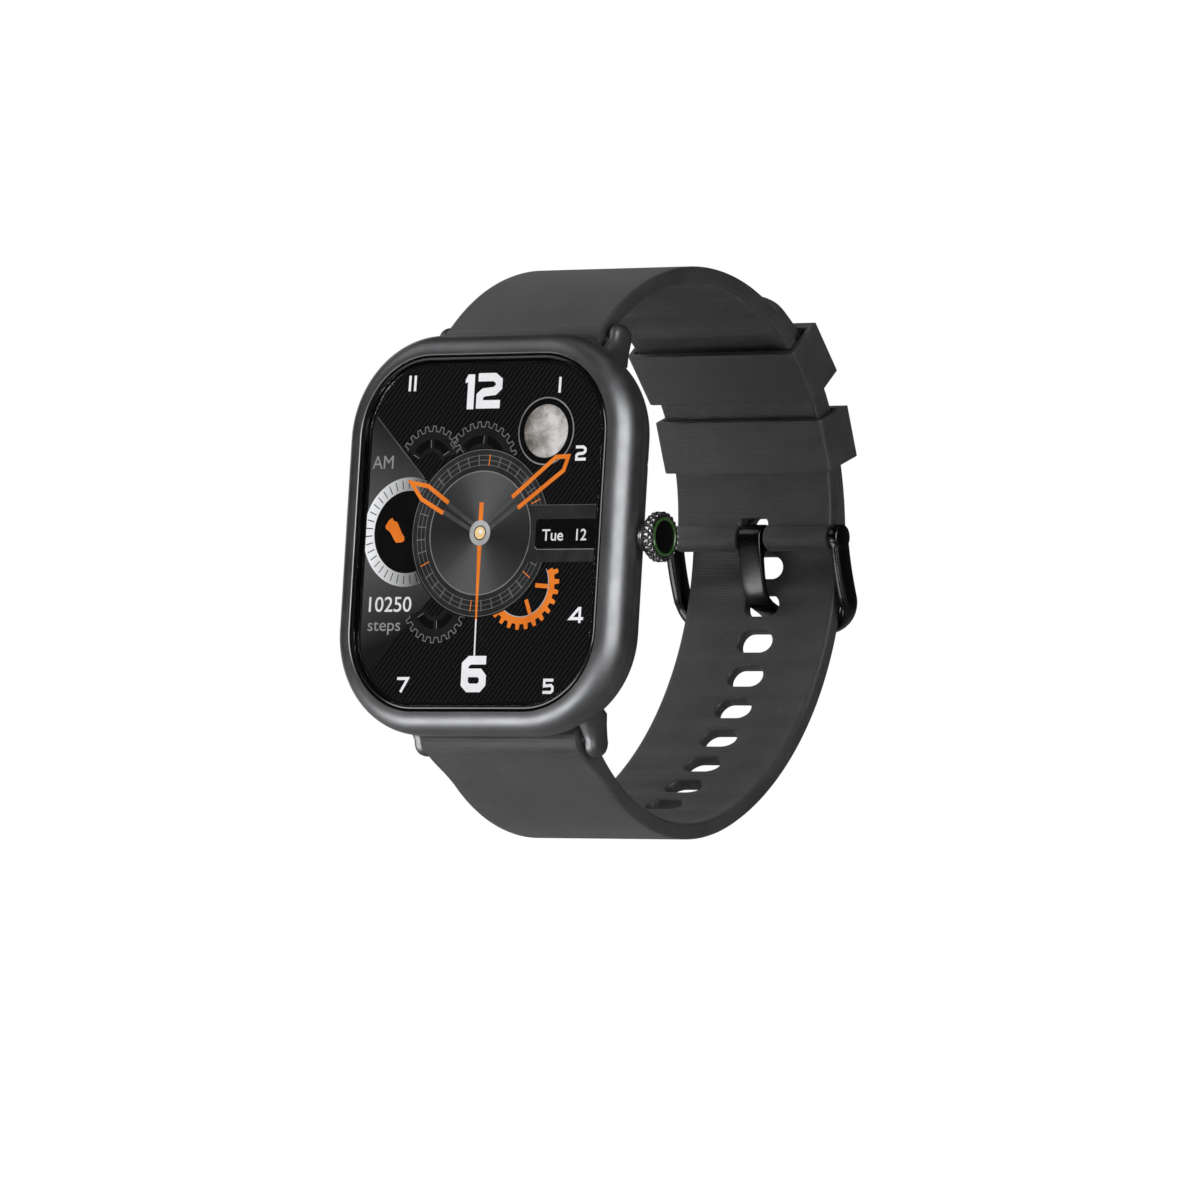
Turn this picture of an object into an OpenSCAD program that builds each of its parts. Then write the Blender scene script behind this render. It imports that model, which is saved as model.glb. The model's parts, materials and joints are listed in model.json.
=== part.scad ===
// Smartwatch with a rectangular screen, a rotating push crown and a buckled rubber band.
// Frame: the origin is the centre of the flat sensor window that rests on the wrist. The screen
// faces -Y, twelve o'clock is +Z and the crown is on +X. All sizes are in millimetres.

/* [Case] */
// Width of the metal bezel
case_w = 39.9; // [39.8:0.1:40]
// Height of the metal bezel
case_h = 46.1; // [46:0.1:46.2]
// Radius of the bezel's outer corners
case_r = 12; // [11.9:0.1:12.1]
// Height of the screen glass above the wrist
glass_top = 11; // [10.9:0.05:11.1]
// Width of the bezel's ring beside the glass
bezel_ring = 2.65; // [2.6:0.05:2.7]
// How far the rear case is set in from the bezel
rear_inset = 0.9; // [0.85:0.05:0.95]

/* [Band] */
// Width of the band between the lugs
band_w = 22; // [21.8:0.1:22]
// Thickness of each band half
band_t = 1.9; // [1.8:0.05:1.95]
// Gap between the two halves where they overlap
band_gap = 0.2; // [0.15:0.05:0.25]
// Width of the long half at its tip
tip_w = 20.2; // [20:0.1:21]
// Distance between adjustment holes
hole_pitch = 4.6; // [4.55:0.05:4.65]
// Size of an adjustment hole across the band
hole_w = 4.8; // [4.6:0.1:5]
// Size of an adjustment hole along the band
hole_l = 2.7; // [2.6:0.1:2.8]
// Number of adjustment holes
hole_count = 12; // [11:1:12]

/* [Crown] */
// Radius of the crown's knob over its teeth
crown_r = 2.88; // [2.8:0.02:2.9]
// Number of teeth around the knob
crown_teeth = 22; // [18:1:26]
// Height of the crown's axis above the wrist
crown_h = 4.8; // [4.75:0.05:4.85]
// How far the crown can be pressed in
crown_travel = 0.35; // [0.25:0.05:0.4]

/* [Buckle] */
// Diameter of the buckle's hinge bar
bar_d = 1.4; // [1.3:0.05:1.4]
// Thickness of the tongue
tongue_t = 0.8; // [0.7:0.05:0.8]
// Width of the tongue
tongue_w = 3.1; // [3:0.1:3.2]

/* [Hidden] */
$fn = 48;
eps = 0.01;

// Colours
METAL = "#303236";
BLACK = "#1c1d1f";
RUBBER = "#3a3b3c";
STEEL = "#b9bbbf";
BOARD = "#1f5a3a";
GOLD = "#d8b35c";

// Case levels, as heights above the wrist, and outlines
ledge_h = 10;
panel_h = 8.7;
seam_h = 6.6;
cover_h = 2.6;
glass_w = case_w - 2 * bezel_ring;
glass_h = case_h - 2 * bezel_ring;
glass_r = case_r - bezel_ring;
rear_w = case_w - 2 * rear_inset;
rear_h = case_h - 2 * rear_inset;
rear_r = case_r - rear_inset;
wall = 2.6;
inner_x = rear_w / 2 - wall;
cover_inset = 2.95;
panel_w = 32.4;
panel_l = 38.6;
panel_r = 8;
post_x = 11.9;
post_z = 15.95;
post_r = 1.5;
stud_x = 13.4;
stud_z = 12.4;
contact_x = 1.8;
contact_z = -14.6;
magnet_x = 5.2;
window_r = 10;

// Lugs and spring bars
pivot_y = -3;
pivot_z = 22.8;
barrel_r = 1.85;
lug_in = 11.2;
lug_out = 12.8;
lug_y = -2.1;
lug_z = 23.05;
lug_r = 1.75;
lug_root = 19.1;
tube_r = 0.9;
tube_bore = 0.62;
tube_end = 10.95;
tip_r = 0.42;
tip_end = 12;
lug_hole_r = 0.5;
release_travel = 1.3;
lever_x = -8.4;

// The band's inner face is one chain of tangent arcs, each with a centre and a radius in the YZ
// plane. Every other face is the same chain at a distance d outside it.
rear_c = [19.5, 6];
rear_arc = 24;
top_arc = 26.55;
low_arc = 32.6;
bottom_arc = 20.6;
top_a = 15.5;
low_a = 21.9;
bottom_a = -64.8;
lug_a = -131.9;
lug_straight = 4.33;
top_c = step_c(rear_c, rear_arc, top_arc, top_a);
low_c = step_c(top_c, top_arc, low_arc, low_a);
bottom_c = step_c(low_c, low_arc, bottom_arc, bottom_a);
short_in = 0;
short_out = band_t;
long_in = band_t + band_gap;
long_out = 2 * band_t + band_gap;
short_lug_a = 136.7;
short_end_a = -1;
thin_a = 41;
tip_a = 65;
tip_t = 1.4;
arc_step = 5;

// Keepers
keeper_clear = 0.2;
keeper_wall = 0.75;
keeper_side = 11.9;
upper_keeper_a = 44.8;
upper_keeper_half = 7.45;
lower_keeper_a = 24.45;
lower_keeper_half = 6.5;

// Buckle
bar_c = [44.2, 5.6];
end_barrel_r = 1.6;
arm_in = 11.2;
arm_out = 12.5;
corner_r = 4.4;
frame_low = -5.5;
notch_half = 1.75;

// Crown
knob_x = 20.1;
knob_end = 21.75;
shaft_r = 1.05;
crown_bore = 1.1;
sleeve_r = 1.6;
shaft_in = 14.6;
plate_x = 13.3;
recess_r = 3.2;
recess_x = 19.5;

// Centre of an arc of radius r2 that leaves an arc of radius r1 tangentially at angle a
function step_c(c, r1, r2, a) = c + (r1 - r2) * [cos(a), sin(a)];

// A point at radius r and angle a about c
function polar(c, r, a) = c + r * [cos(a), sin(a)];

// Points of an arc from a0 to a1
function arc(c, r, a0, a1) =
    let (n = max(2, ceil(abs(a1 - a0) / arc_step)))
    [for (i = [0:n]) polar(c, r, a0 + (a1 - a0) * i / n)];

// Face of the short half at distance d, from its buckle end over the top to the upper lug
function short_face(d) = concat(
    arc(rear_c, rear_arc + d, short_end_a, top_a),
    arc(top_c, top_arc + d, top_a + arc_step, short_lug_a)
);

// Straight end of the long half at the lower lug
function lug_end(d) = polar(bottom_c, bottom_arc + d, lug_a)
    + lug_straight * [cos(lug_a - 90), sin(lug_a - 90)];

// Face of the long half at distance d, from the lower lug round to its tip
function long_face(d) = concat(
    [lug_end(d)],
    arc(bottom_c, bottom_arc + d, lug_a, bottom_a),
    arc(low_c, low_arc + d, bottom_a + arc_step, low_a),
    arc(top_c, top_arc + d, low_a + arc_step, thin_a)
);

// Length along the long half's middle, measured from where its top arc starts, to a centre,
// a radius and an angle
low_mid = low_arc + long_in + band_t / 2;
top_mid = top_arc + long_in + band_t / 2;
bottom_mid = bottom_arc + long_in + band_t / 2;
low_len = low_mid * (low_a - bottom_a) * PI / 180;
function deg(s, r) = s / r * 180 / PI;
function spot(s) =
    s > 0 ? [top_c, top_mid, low_a + deg(s, top_mid)]
    : s > -low_len ? [low_c, low_mid, low_a + deg(s, low_mid)]
    : [bottom_c, bottom_mid, bottom_a + deg(s + low_len, bottom_mid)];
tongue_hole = -18.98;
used_hole = 7;

// Turns a shape drawn face up so that its top faces the screen side
module facing() {
    rotate([90, 0, 0]) children();
}

// Carries a profile drawn in Y and Z across the width w of the watch
module across(w) {
    rotate([90, 0, 90]) linear_extrude(w, center = true) children();
}

// A rounded rectangle
module outline(w, h, r) {
    square([w - 2 * r, h], center = true);
    square([w, h - 2 * r], center = true);
    for (x = [-1, 1], y = [-1, 1])
        translate([x * (w / 2 - r), y * (h / 2 - r)]) circle(r);
}

// A slab with rounded corners between two heights
module slab(w, h, r, low, high) {
    translate([0, 0, low]) linear_extrude(high - low) outline(w, h, r);
}

// Sweeps a profile around a rounded rectangle; its x is measured outward from the outline
module around(w, h, r) {
    for (q = [0:3]) {
        x = (q == 0 || q == 3) ? 1 : -1;
        y = q < 2 ? 1 : -1;
        translate([x * (w / 2 - r), y * (h / 2 - r), 0])
            rotate([0, 0, q * 90]) rotate_extrude(angle = 90) translate([r, 0]) children();
    }
    for (s = [0, 180]) rotate([0, 0, s]) {
        translate([w / 2, 0, 0]) rotate([90, 0, 0])
            linear_extrude(h - 2 * r, center = true) children();
        rotate([0, 0, 90]) translate([h / 2, 0, 0]) rotate([90, 0, 0])
            linear_extrude(w - 2 * r, center = true) children();
    }
}

// A cylinder along X from x0 to x1 about the point y, z
module rod(x0, x1, r, y, z) {
    translate([x0, y, z]) rotate([0, 90, 0]) cylinder(x1 - x0, r, r);
}

// A tube along X
module pipe(x0, x1, r_out, r_in, y, z) {
    difference() {
        rod(x0, x1, r_out, y, z);
        rod(x0 - 1, x1 + 1, r_in, y, z);
    }
}

// Screen, glass and bezel
module cover_glass() {
    color("#0c0d10", 0.5) facing() {
        slab(glass_w - 0.1, glass_h - 0.1, glass_r - 0.05, ledge_h + 0.2, glass_top - 0.3);
        slab(glass_w - 0.7, glass_h - 0.7, glass_r - 0.35, glass_top - 0.3, glass_top);
    }
}

module display_panel() {
    color("black") facing() slab(panel_w, panel_l, panel_r, panel_h, ledge_h + 0.15);
}

module display_gasket() {
    color(BLACK) facing() difference() {
        slab(glass_w - 0.2, glass_h - 0.2, glass_r - 0.1, ledge_h, ledge_h + 0.2);
        slab(panel_w + 0.5, panel_l + 0.5, panel_r + 0.25, ledge_h - 1, ledge_h + 1);
    }
}

module bezel_frame() {
    roll_r = 2.5;
    roll_h = glass_top - 2.4;
    heel_r = 1.4;
    seat = bezel_ring - 0.1;
    land = 3.55;
    color(METAL) difference() {
        facing() around(case_w, case_h, case_r) polygon(concat(
            [[-land, seam_h], [-land, ledge_h], [-seat, ledge_h]],
            arc([-roll_r, roll_h], roll_r, 91, 0),
            arc([-heel_r, seam_h + 1.2], heel_r, 0, -59)
        ));
        rod(recess_x, 30, recess_r, -crown_h, 0);
    }
}

module display_bracket() {
    color("#55585c") facing() {
        difference() {
            slab(panel_w - 0.2, panel_l - 0.2, panel_r - 0.1, 7.9, 8.6);
            slab(20, 22, 3, 7, 8.2);
            translate([-6, -20, 7]) cube([12, 2.8, 2]);
        }
        for (x = [-1, 1], y = [-1, 1]) translate([x * stud_x, y * stud_z, 6.8]) difference() {
            cylinder(1.2, 1.1, 1.1);
            translate([0, 0, -1]) cylinder(1.9, 0.5, 0.5);
        }
    }
}

module display_flex() {
    color("#8a4b1c") across(9) polygon([
        [-8.7, -17.6], [-8.7, -18.7], [-6.8, -18.7], [-6.8, -15.4], [-6.95, -15.4],
        [-6.95, -18.55], [-8.55, -18.55], [-8.55, -17.6]
    ]);
}

// Electronics
module main_board() {
    color(BOARD) facing() difference() {
        slab(31.4, 37.2, 6.8, 6, 6.8);
        translate([12.4, -4.6, 5]) cube([6, 9.2, 3]);
        for (x = [-1, 1], y = [-1, 1]) translate([x * stud_x, y * stud_z, 5])
            cylinder(3, 0.6, 0.6);
    }
}

module board_shields() {
    color(STEEL) facing() {
        translate([-9.5, -6, 6.8]) cube([9, 12, 0.9]);
        translate([1, -9, 6.8]) cube([8, 7, 0.9]);
        translate([1.5, 2, 6.8]) cube([6, 6, 0.7]);
    }
}

module board_screws() {
    color(STEEL) facing() for (x = [-1, 1], y = [-1, 1])
        translate([x * stud_x, y * stud_z, 0]) difference() {
            union() {
                translate([0, 0, 5.6]) cylinder(0.4, 0.95, 0.95);
                translate([0, 0, 6 - eps]) cylinder(1.5, 0.5, 0.5);
            }
            translate([0, 0, 5.5]) cylinder(0.3, 0.35, 0.35);
        }
}

module battery() {
    color("#c9ccd0") facing() translate([1, 2.1, 0]) slab(19, 25.8, 1, 3, 5.9);
}

module vibration_motor() {
    color(STEEL) facing() translate([-1, -14.4, 3]) cylinder(2.6, 3.5, 3.5);
}

module speaker() {
    color("#26282b") facing() translate([-13, 0, 0]) slab(6.3, 13.6, 0.8, 3.65, 5.6);
}

module speaker_mesh() {
    color("#4b4e52") translate([0.05 - inner_x, -5.3, -4.8]) cube([0.2, 1.6, 9.6]);
}

module microphone() {
    color(STEEL) translate([inner_x - 1.85, -5.5, 6.8]) cube([1.8, 1.8, 3]);
}

module crown_switch() {
    color(STEEL) {
        translate([11.7, -6, -2.4]) cube([0.6, 2.6, 4.8]);
        rod(12.3, plate_x - crown_travel - 0.05, 1.1, -crown_h, 0);
    }
}

// Rear case with its four lugs
module lug(side, end) {
    mirror([side < 0 ? 1 : 0, 0, 0]) mirror([0, 0, end < 0 ? 1 : 0]) {
        rod(lug_in, lug_out, lug_r, lug_y, lug_z);
        translate([(lug_in + lug_out) / 2, 0, 0]) across(lug_out - lug_in) polygon([
            [lug_y - lug_r, lug_z], [-5.3, 21.3], [-6.55, 20.2], [-6.55, lug_root],
            [-3.3, lug_root], [-1.8, lug_root + 0.2], [lug_y + lug_r, lug_z],
            [lug_y, lug_z + 1]
        ]);
    }
}

module mid_case() {
    fillet = 2.4;
    fillet_h = 5.8;
    slot_pitch = 2.4;
    color(METAL) difference() {
        union() {
            facing() around(rear_w, rear_h, rear_r) polygon(concat(
                [[-wall, 3.6], [-wall, seam_h], [0, seam_h]],
                arc([-fillet, fillet_h], fillet, 0, -90),
                [[-cover_inset, cover_h], [-3.3, cover_h], [-3.3, 2.85], [-4.1, 2.85],
                 [-4.1, 3.6]]
            ));
            facing() for (x = [-1, 1], y = [-1, 1])
                translate([x * post_x, y * post_z, 2.85]) cylinder(2.5, post_r, post_r);
            for (x = [-1, 1], z = [-1, 1]) lug(x, z);
        }
        for (z = [-1, 1]) {
            rod(-lug_in, lug_in, barrel_r + 0.3, pivot_y, z * pivot_z);
            rod(-tip_end - 0.2, tip_end + 0.2, lug_hole_r, pivot_y, z * pivot_z);
        }
        facing() for (x = [-1, 1], y = [-1, 1])
            translate([x * post_x, y * post_z, 2]) cylinder(2.8, 0.6, 0.6);
        rod(15, 21, sleeve_r, -crown_h, 0);
        rod(14, inner_x, 1.9, -crown_h, 0);
        for (i = [-1.5:1.5]) translate([-16, -4.3, i * slot_pitch])
            rotate([0, -90, 0]) linear_extrude(5) {
                square([1.2, 0.6], center = true);
                for (s = [-1, 1]) translate([s * 0.6, 0]) circle(0.3);
            }
        rod(16, 21, 0.4, -4.4, 8.3);
    }
}

module case_gasket() {
    color("black") facing() difference() {
        slab(rear_w - 6.7, rear_h - 6.7, rear_r - 3.35, cover_h, 2.85);
        slab(rear_w - 8.1, rear_h - 8.1, rear_r - 4.05, 2, 4);
    }
}

module back_cover() {
    w = rear_w - 2 * cover_inset;
    h = rear_h - 2 * cover_inset;
    r = rear_r - cover_inset;
    color(BLACK) facing() difference() {
        union() {
            slab(w, h, r, 1.6, cover_h);
            slab(w - 1, h - 1, r - 0.5, 1, 1.6);
            translate([0, 0, 0.25]) cylinder(0.76, 11.6, 12.6);
        }
        translate([0, 0, -1]) cylinder(2, window_r + 0.03, window_r + 0.03);
        cylinder(4, 8.8, 8.8);
        for (s = [-1, 1]) {
            translate([s * contact_x, contact_z, 0]) cylinder(4, 0.9, 0.9);
            translate([s * magnet_x, contact_z, 1.6]) cylinder(2, 1.5, 1.5);
        }
        for (x = [-1, 1], y = [-1, 1]) translate([x * post_x, y * post_z, 0]) {
            cylinder(4, 0.7, 0.7);
            cylinder(1.8, 1.1, 1.1);
        }
    }
}

module case_screws() {
    color(STEEL) facing() for (x = [-1, 1], y = [-1, 1])
        translate([x * post_x, y * post_z, 0]) difference() {
            union() {
                translate([0, 0, 1.2]) cylinder(0.6, 1, 1);
                translate([0, 0, 1.7]) cylinder(2.9, 0.6, 0.6);
            }
            translate([0, 0, 1]) cylinder(0.5, 0.45, 0.45, $fn = 6);
        }
}

module sensor_window() {
    color("#101418", 0.6) facing() cylinder(1, window_r, window_r);
}

module sensor_board() {
    color(BOARD) facing() translate([0, 0, 1.6]) cylinder(0.6, 8.6, 8.6);
}

module sensor_leds() {
    color("#d9e8d0") facing() {
        for (a = [45:90:315]) rotate([0, 0, a]) translate([4.2, -0.8, 1.05])
            cube([1.6, 1.6, 0.55]);
        translate([-1.4, -1.4, 1.05]) cube([2.8, 2.8, 0.55]);
    }
}

module charging_pins() {
    color(GOLD) facing() for (s = [-1, 1]) translate([s * contact_x, contact_z, 0.95])
        cylinder(2, 0.9, 0.9);
}

module charging_magnets() {
    color(STEEL) facing() for (s = [-1, 1]) translate([s * magnet_x, contact_z, 1.6])
        cylinder(1, 1.5, 1.5);
}

// Crown
module crown_sleeve() {
    color(STEEL) pipe(17, 19, sleeve_r, crown_bore, -crown_h, 0);
}

module crown_plate() {
    color(STEEL) {
        translate([plate_x, -crown_h - 1.2, -3.8]) cube([0.3, 2.4, 7.6]);
        rod(plate_x + 0.3 - eps, shaft_in - 0.05, 0.6, -crown_h, 0);
    }
}

module crown_shaft() {
    color(STEEL) difference() {
        rod(shaft_in, knob_end - 0.4, shaft_r, -crown_h, 0);
        pipe(16, 16.45, 2, 0.75, -crown_h, 0);
        for (x = [17.5, 18.3]) pipe(x, x + 0.4, 2, 0.8, -crown_h, 0);
    }
}

module crown_seals() {
    color("#7a2020") for (x = [17.5, 18.3])
        pipe(x + 0.03, x + 0.37, 1.07, 0.82, -crown_h, 0);
}

module crown_circlip() {
    color(STEEL) difference() {
        pipe(16.05, 16.4, 1.75, 0.78, -crown_h, 0);
        translate([15, -crown_h - 0.5, 0]) cube([1, 1, 3]);
    }
}

// A ring of teeth drawn as one star-shaped outline
module toothed(r, depth, n, turn) {
    tooth = [[-0.36, 0], [-0.2, 1], [0.2, 1], [0.36, 0]];
    polygon([for (i = [0:n - 1], t = tooth)
        polar([0, 0], r - depth + depth * t[1], (i + turn + t[0]) * 360 / n)]);
}

module crown_knob() {
    row = 0.62;
    color(BLACK) translate([0, -crown_h, 0]) rotate([0, 90, 0]) difference() {
        union() {
            translate([0, 0, knob_x]) cylinder(0.45, crown_r - 0.5, crown_r - 0.25);
            for (i = [0, 1]) translate([0, 0, knob_x + 0.4 + i * row])
                linear_extrude(row) toothed(crown_r - 0.12 * i, 0.3, crown_teeth, i / 2);
            translate([0, 0, knob_end - 0.02]) mirror([0, 0, 1]) cylinder(0.3, 2.35, 2.55);
        }
        translate([0, 0, knob_end - 0.3]) cylinder(2, 2.25, 2.25);
        cylinder(knob_end - 0.4, shaft_r, shaft_r);
    }
}

module crown_trim_ring() {
    color("#3f7d2c") pipe(knob_end - 0.3, knob_end + 0.15, 2.24, 1.88, -crown_h, 0);
}

module crown_cap() {
    color(BLACK) rod(knob_end - 0.3, knob_end + 0.05, 1.87, -crown_h, 0);
}

// Spring bars with a quick-release lever near one end
module spring_bar(end) {
    z = end * pivot_z;
    color(STEEL) difference() {
        union() {
            rod(-tube_end, tube_end, tube_r, pivot_y, z);
            rod(tube_end - eps, tip_end, tip_r, pivot_y, z);
        }
        rod(-tube_end - 1, 4, tube_bore, pivot_y, z);
        translate([lever_x - 0.6, pivot_y, z - 0.55])
            cube([release_travel + 1.2, 2, 1.1]);
    }
}

module release(end) {
    z = end * pivot_z;
    color(STEEL) {
        rod(-tip_end, -tube_end, tip_r, pivot_y, z);
        rod(-tube_end - eps, lever_x + 1.2, 0.55, pivot_y, z);
        translate([lever_x, pivot_y, z]) rotate([-90, 0, 0]) cylinder(2.3, 0.42, 0.42);
    }
}

module release_spring(end) {
    color(STEEL) pipe(lever_x + 1.25, 3.9, 0.55, 0.3, pivot_y, end * pivot_z);
}

// Cut through a band barrel for the spring bar and its lever
module bar_cut(end) {
    rod(-20, 20, tube_r, pivot_y, end * pivot_z);
    translate([lever_x - 0.8, pivot_y, end * pivot_z - 0.85])
        cube([release_travel + 1.6, 4, 1.7]);
}

// Band halves
module band_short() {
    color(RUBBER) difference() {
        union() {
            across(band_w) polygon(concat(
                short_face(short_out),
                [for (i = [len(short_face(0)) - 1:-1:0]) short_face(short_in)[i]]
            ));
            rod(-band_w / 2, band_w / 2, barrel_r, pivot_y, pivot_z);
            rod(-band_w / 2, band_w / 2, end_barrel_r, bar_c[0], bar_c[1]);
        }
        bar_cut(1);
        rod(-20, 20, bar_d / 2, bar_c[0], bar_c[1]);
        translate([-notch_half, bar_c[0] - 4, bar_c[1] - 4]) cube([2 * notch_half, 8, 6.2]);
    }
}

// Tail of the long half, thinned towards its tip
module band_tip() {
    turn = tip_a - thin_a;
    across(band_w) polygon(concat(
        arc(top_c, top_arc + long_in, thin_a - 1, tip_a),
        [for (a = [turn:-2:0]) let (thin = (band_t - tip_t) * a / turn)
            polar(top_c, top_arc + long_out - thin, thin_a + a)],
        [polar(top_c, top_arc + long_out, thin_a - 1)]
    ));
}

// Wedge that narrows the long half evenly from its lug to its tip
module band_taper() {
    rotate([45, 0, 0]) linear_extrude(120, center = true) polygon([
        [band_w / 2, -28], [tip_w / 2, 60], [-tip_w / 2, 60], [-band_w / 2, -28]
    ]);
}

// An adjustment hole at length s along the long half
module band_hole(s) {
    p = spot(s);
    middle = polar(p[0], p[1], p[2]);
    end_x = (hole_w - hole_l) / 2;
    translate([0, middle[0], middle[1]]) rotate([p[2], 0, 0]) rotate([90, 0, 0]) {
        for (x = [-1, 1]) translate([x * end_x, 0, 0])
            cylinder(6, hole_l / 2, hole_l / 2, center = true);
        cube([hole_w - hole_l, hole_l, 6], center = true);
    }
}

module band_long() {
    color(RUBBER) difference() {
        intersection() {
            union() {
                across(band_w) polygon(concat(
                    long_face(long_out),
                    [for (i = [len(long_face(0)) - 1:-1:0]) long_face(long_in)[i]]
                ));
                band_tip();
                rod(-band_w / 2, band_w / 2, barrel_r, pivot_y, -pivot_z);
            }
            band_taper();
        }
        bar_cut(-1);
        for (i = [0:hole_count - 1]) band_hole(tongue_hole + (i - used_hole) * hole_pitch);
    }
}

// Keepers: flat-faced rubber loops whose curved channel follows the band
module keeper(a, half) {
    in_r = top_arc - keeper_clear;
    out_r = top_arc + long_out + keeper_clear;
    flat_in = in_r * cos(half) - keeper_wall;
    length = 2 * in_r * sin(half) + 0.3;
    color(RUBBER) difference() {
        translate([0, top_c[0], top_c[1]]) rotate([a, 0, 0])
            translate([-keeper_side, flat_in, -length / 2])
            cube([2 * keeper_side, out_r + keeper_wall - flat_in, length]);
        translate([0, top_c[0], top_c[1]]) rotate([0, 90, 0]) rotate([0, 0, 90])
            channel(in_r, out_r, a);
    }
}

// The opening in a keeper, as a length of flat ring about the arc's centre
module channel(r0, r1, a) {
    w = band_w + 2 * keeper_clear;
    rotate([0, 0, a - 15]) rotate_extrude(angle = 30) translate([r0, -w / 2])
        square([r1 - r0, w]);
}

module keeper_upper() { keeper(upper_keeper_a, upper_keeper_half); }
module keeper_lower() { keeper(lower_keeper_a, lower_keeper_half); }

// Buckle
module buckle_bar() {
    color(METAL) rod(-arm_out + 0.4, arm_out - 0.4, bar_d / 2, bar_c[0], bar_c[1]);
}

// The frame's two arms beside the band and its far bar across the outside
module buckle_frame() {
    fit = 0.05;
    color(METAL) difference() {
        intersection() {
            union() {
                for (s = [-1, 1]) translate([s * (arm_in + arm_out) / 2, 0, 0])
                    across(arm_out - arm_in) polygon(concat(
                        arc(bar_c, 1.5, 60, 200),
                        [[44, 1.5], [45.3, -1.8], [46.4, -4.4], [47, frame_low]],
                        [[48.5, frame_low], [49.1, -4.7], [48.7, -3.4], [47.9, -1.2], [46.5, 2.4]]
                    ));
                across(2 * arm_in + eps) polygon([
                    [47.7, -3.9], [48.7, -3.7], [49.1, -4.7], [48.5, frame_low],
                    [47.4, frame_low], [47.35, -5.2]
                ]);
            }
            translate([0, 60, 0]) rotate([90, 0, 0]) linear_extrude(40) union() {
                translate([-arm_out, frame_low + corner_r]) square([2 * arm_out, 20]);
                translate([-arm_out + corner_r, frame_low])
                    square([2 * (arm_out - corner_r), 20]);
                for (s = [-1, 1]) translate([s * (arm_out - corner_r), frame_low + corner_r])
                    circle(corner_r);
            }
        }
        rod(-arm_out + 0.35, arm_out - 0.35, bar_d / 2 + fit, bar_c[0], bar_c[1]);
    }
}

// The tongue: a loop around the bar, a strip inside the band and a tip through a hole
module buckle_tongue() {
    fit = 0.05;
    loop_r = bar_d / 2 + fit + tongue_t;
    color(METAL) difference() {
        union() {
            rod(-tongue_w / 2, tongue_w / 2, loop_r, bar_c[0], bar_c[1]);
            across(tongue_w) polygon([
                [42.8, 5], [42.95, 3.6], [43.9, 0.2], [44.4, -1.1], [45.2, -2.1], [46, -2.5],
                [47.6, -2.95], [49.5, -3.9], [49.9, -3.4], [49.6, -3], [47.8, -2.1],
                [46.3, -1.65], [45.7, -1.3], [45.1, -0.6], [44.7, 0.4], [43.9, 3.3], [44.2, 4.5]
            ]);
        }
        rod(-tongue_w, tongue_w, bar_d / 2 + fit, bar_c[0], bar_c[1]);
    }
}

cover_glass();
display_panel();
display_gasket();
bezel_frame();
display_bracket();
display_flex();
main_board();
board_shields();
board_screws();
battery();
vibration_motor();
speaker();
speaker_mesh();
microphone();
crown_switch();
mid_case();
case_gasket();
back_cover();
case_screws();
sensor_window();
sensor_board();
sensor_leds();
charging_pins();
charging_magnets();
crown_sleeve();
crown_plate();
crown_shaft();
crown_seals();
crown_circlip();
crown_knob();
crown_trim_ring();
crown_cap();
spring_bar(1);  // spring_bar_upper
spring_bar(-1);  // spring_bar_lower
release(1);  // release_upper
release(-1);  // release_lower
release_spring(1);  // release_spring_upper
release_spring(-1);  // release_spring_lower
band_short();
band_long();
keeper_upper();
keeper_lower();
buckle_bar();
buckle_frame();
buckle_tongue();
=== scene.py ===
import json
import math

import bmesh
import bpy
from mathutils import Matrix, Vector


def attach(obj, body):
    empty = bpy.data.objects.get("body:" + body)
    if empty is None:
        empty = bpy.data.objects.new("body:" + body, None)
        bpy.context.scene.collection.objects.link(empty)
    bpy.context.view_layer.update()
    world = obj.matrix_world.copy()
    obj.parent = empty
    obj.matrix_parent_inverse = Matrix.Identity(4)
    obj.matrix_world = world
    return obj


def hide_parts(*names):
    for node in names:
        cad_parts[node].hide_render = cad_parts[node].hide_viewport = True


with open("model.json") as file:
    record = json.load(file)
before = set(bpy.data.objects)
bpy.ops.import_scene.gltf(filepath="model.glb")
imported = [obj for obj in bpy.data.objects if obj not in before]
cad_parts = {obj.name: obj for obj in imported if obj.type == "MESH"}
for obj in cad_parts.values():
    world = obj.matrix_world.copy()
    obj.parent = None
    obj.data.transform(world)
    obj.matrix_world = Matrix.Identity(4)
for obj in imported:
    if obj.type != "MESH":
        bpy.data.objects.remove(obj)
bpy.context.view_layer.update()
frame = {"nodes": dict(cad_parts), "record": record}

MM = 0.001
COLLECTION = bpy.context.scene.collection


def polar(c, r, a):
    """A point in the YZ plane at radius r and angle a, in degrees, about c."""
    return (c[0] + r * math.cos(math.radians(a)), c[1] + r * math.sin(math.radians(a)))


def arc(c, r, a0, a1, step=3.0):
    n = max(2, math.ceil(abs(a1 - a0) / step))
    return [polar(c, r, a0 + (a1 - a0) * i / n) for i in range(n + 1)]


# ---------------------------------------------------------------- mesh helpers
def finish_mesh(ob, angle=35.0):
    """Outward normals, smooth shading and sharp edges above an angle."""
    me = ob.data
    bm = bmesh.new()
    bm.from_mesh(me)
    bmesh.ops.recalc_face_normals(bm, faces=bm.faces)
    bm.to_mesh(me)
    bm.free()
    for p in me.polygons:
        p.use_smooth = True
    me.set_sharp_from_angle(angle=math.radians(angle))
    return ob


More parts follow.
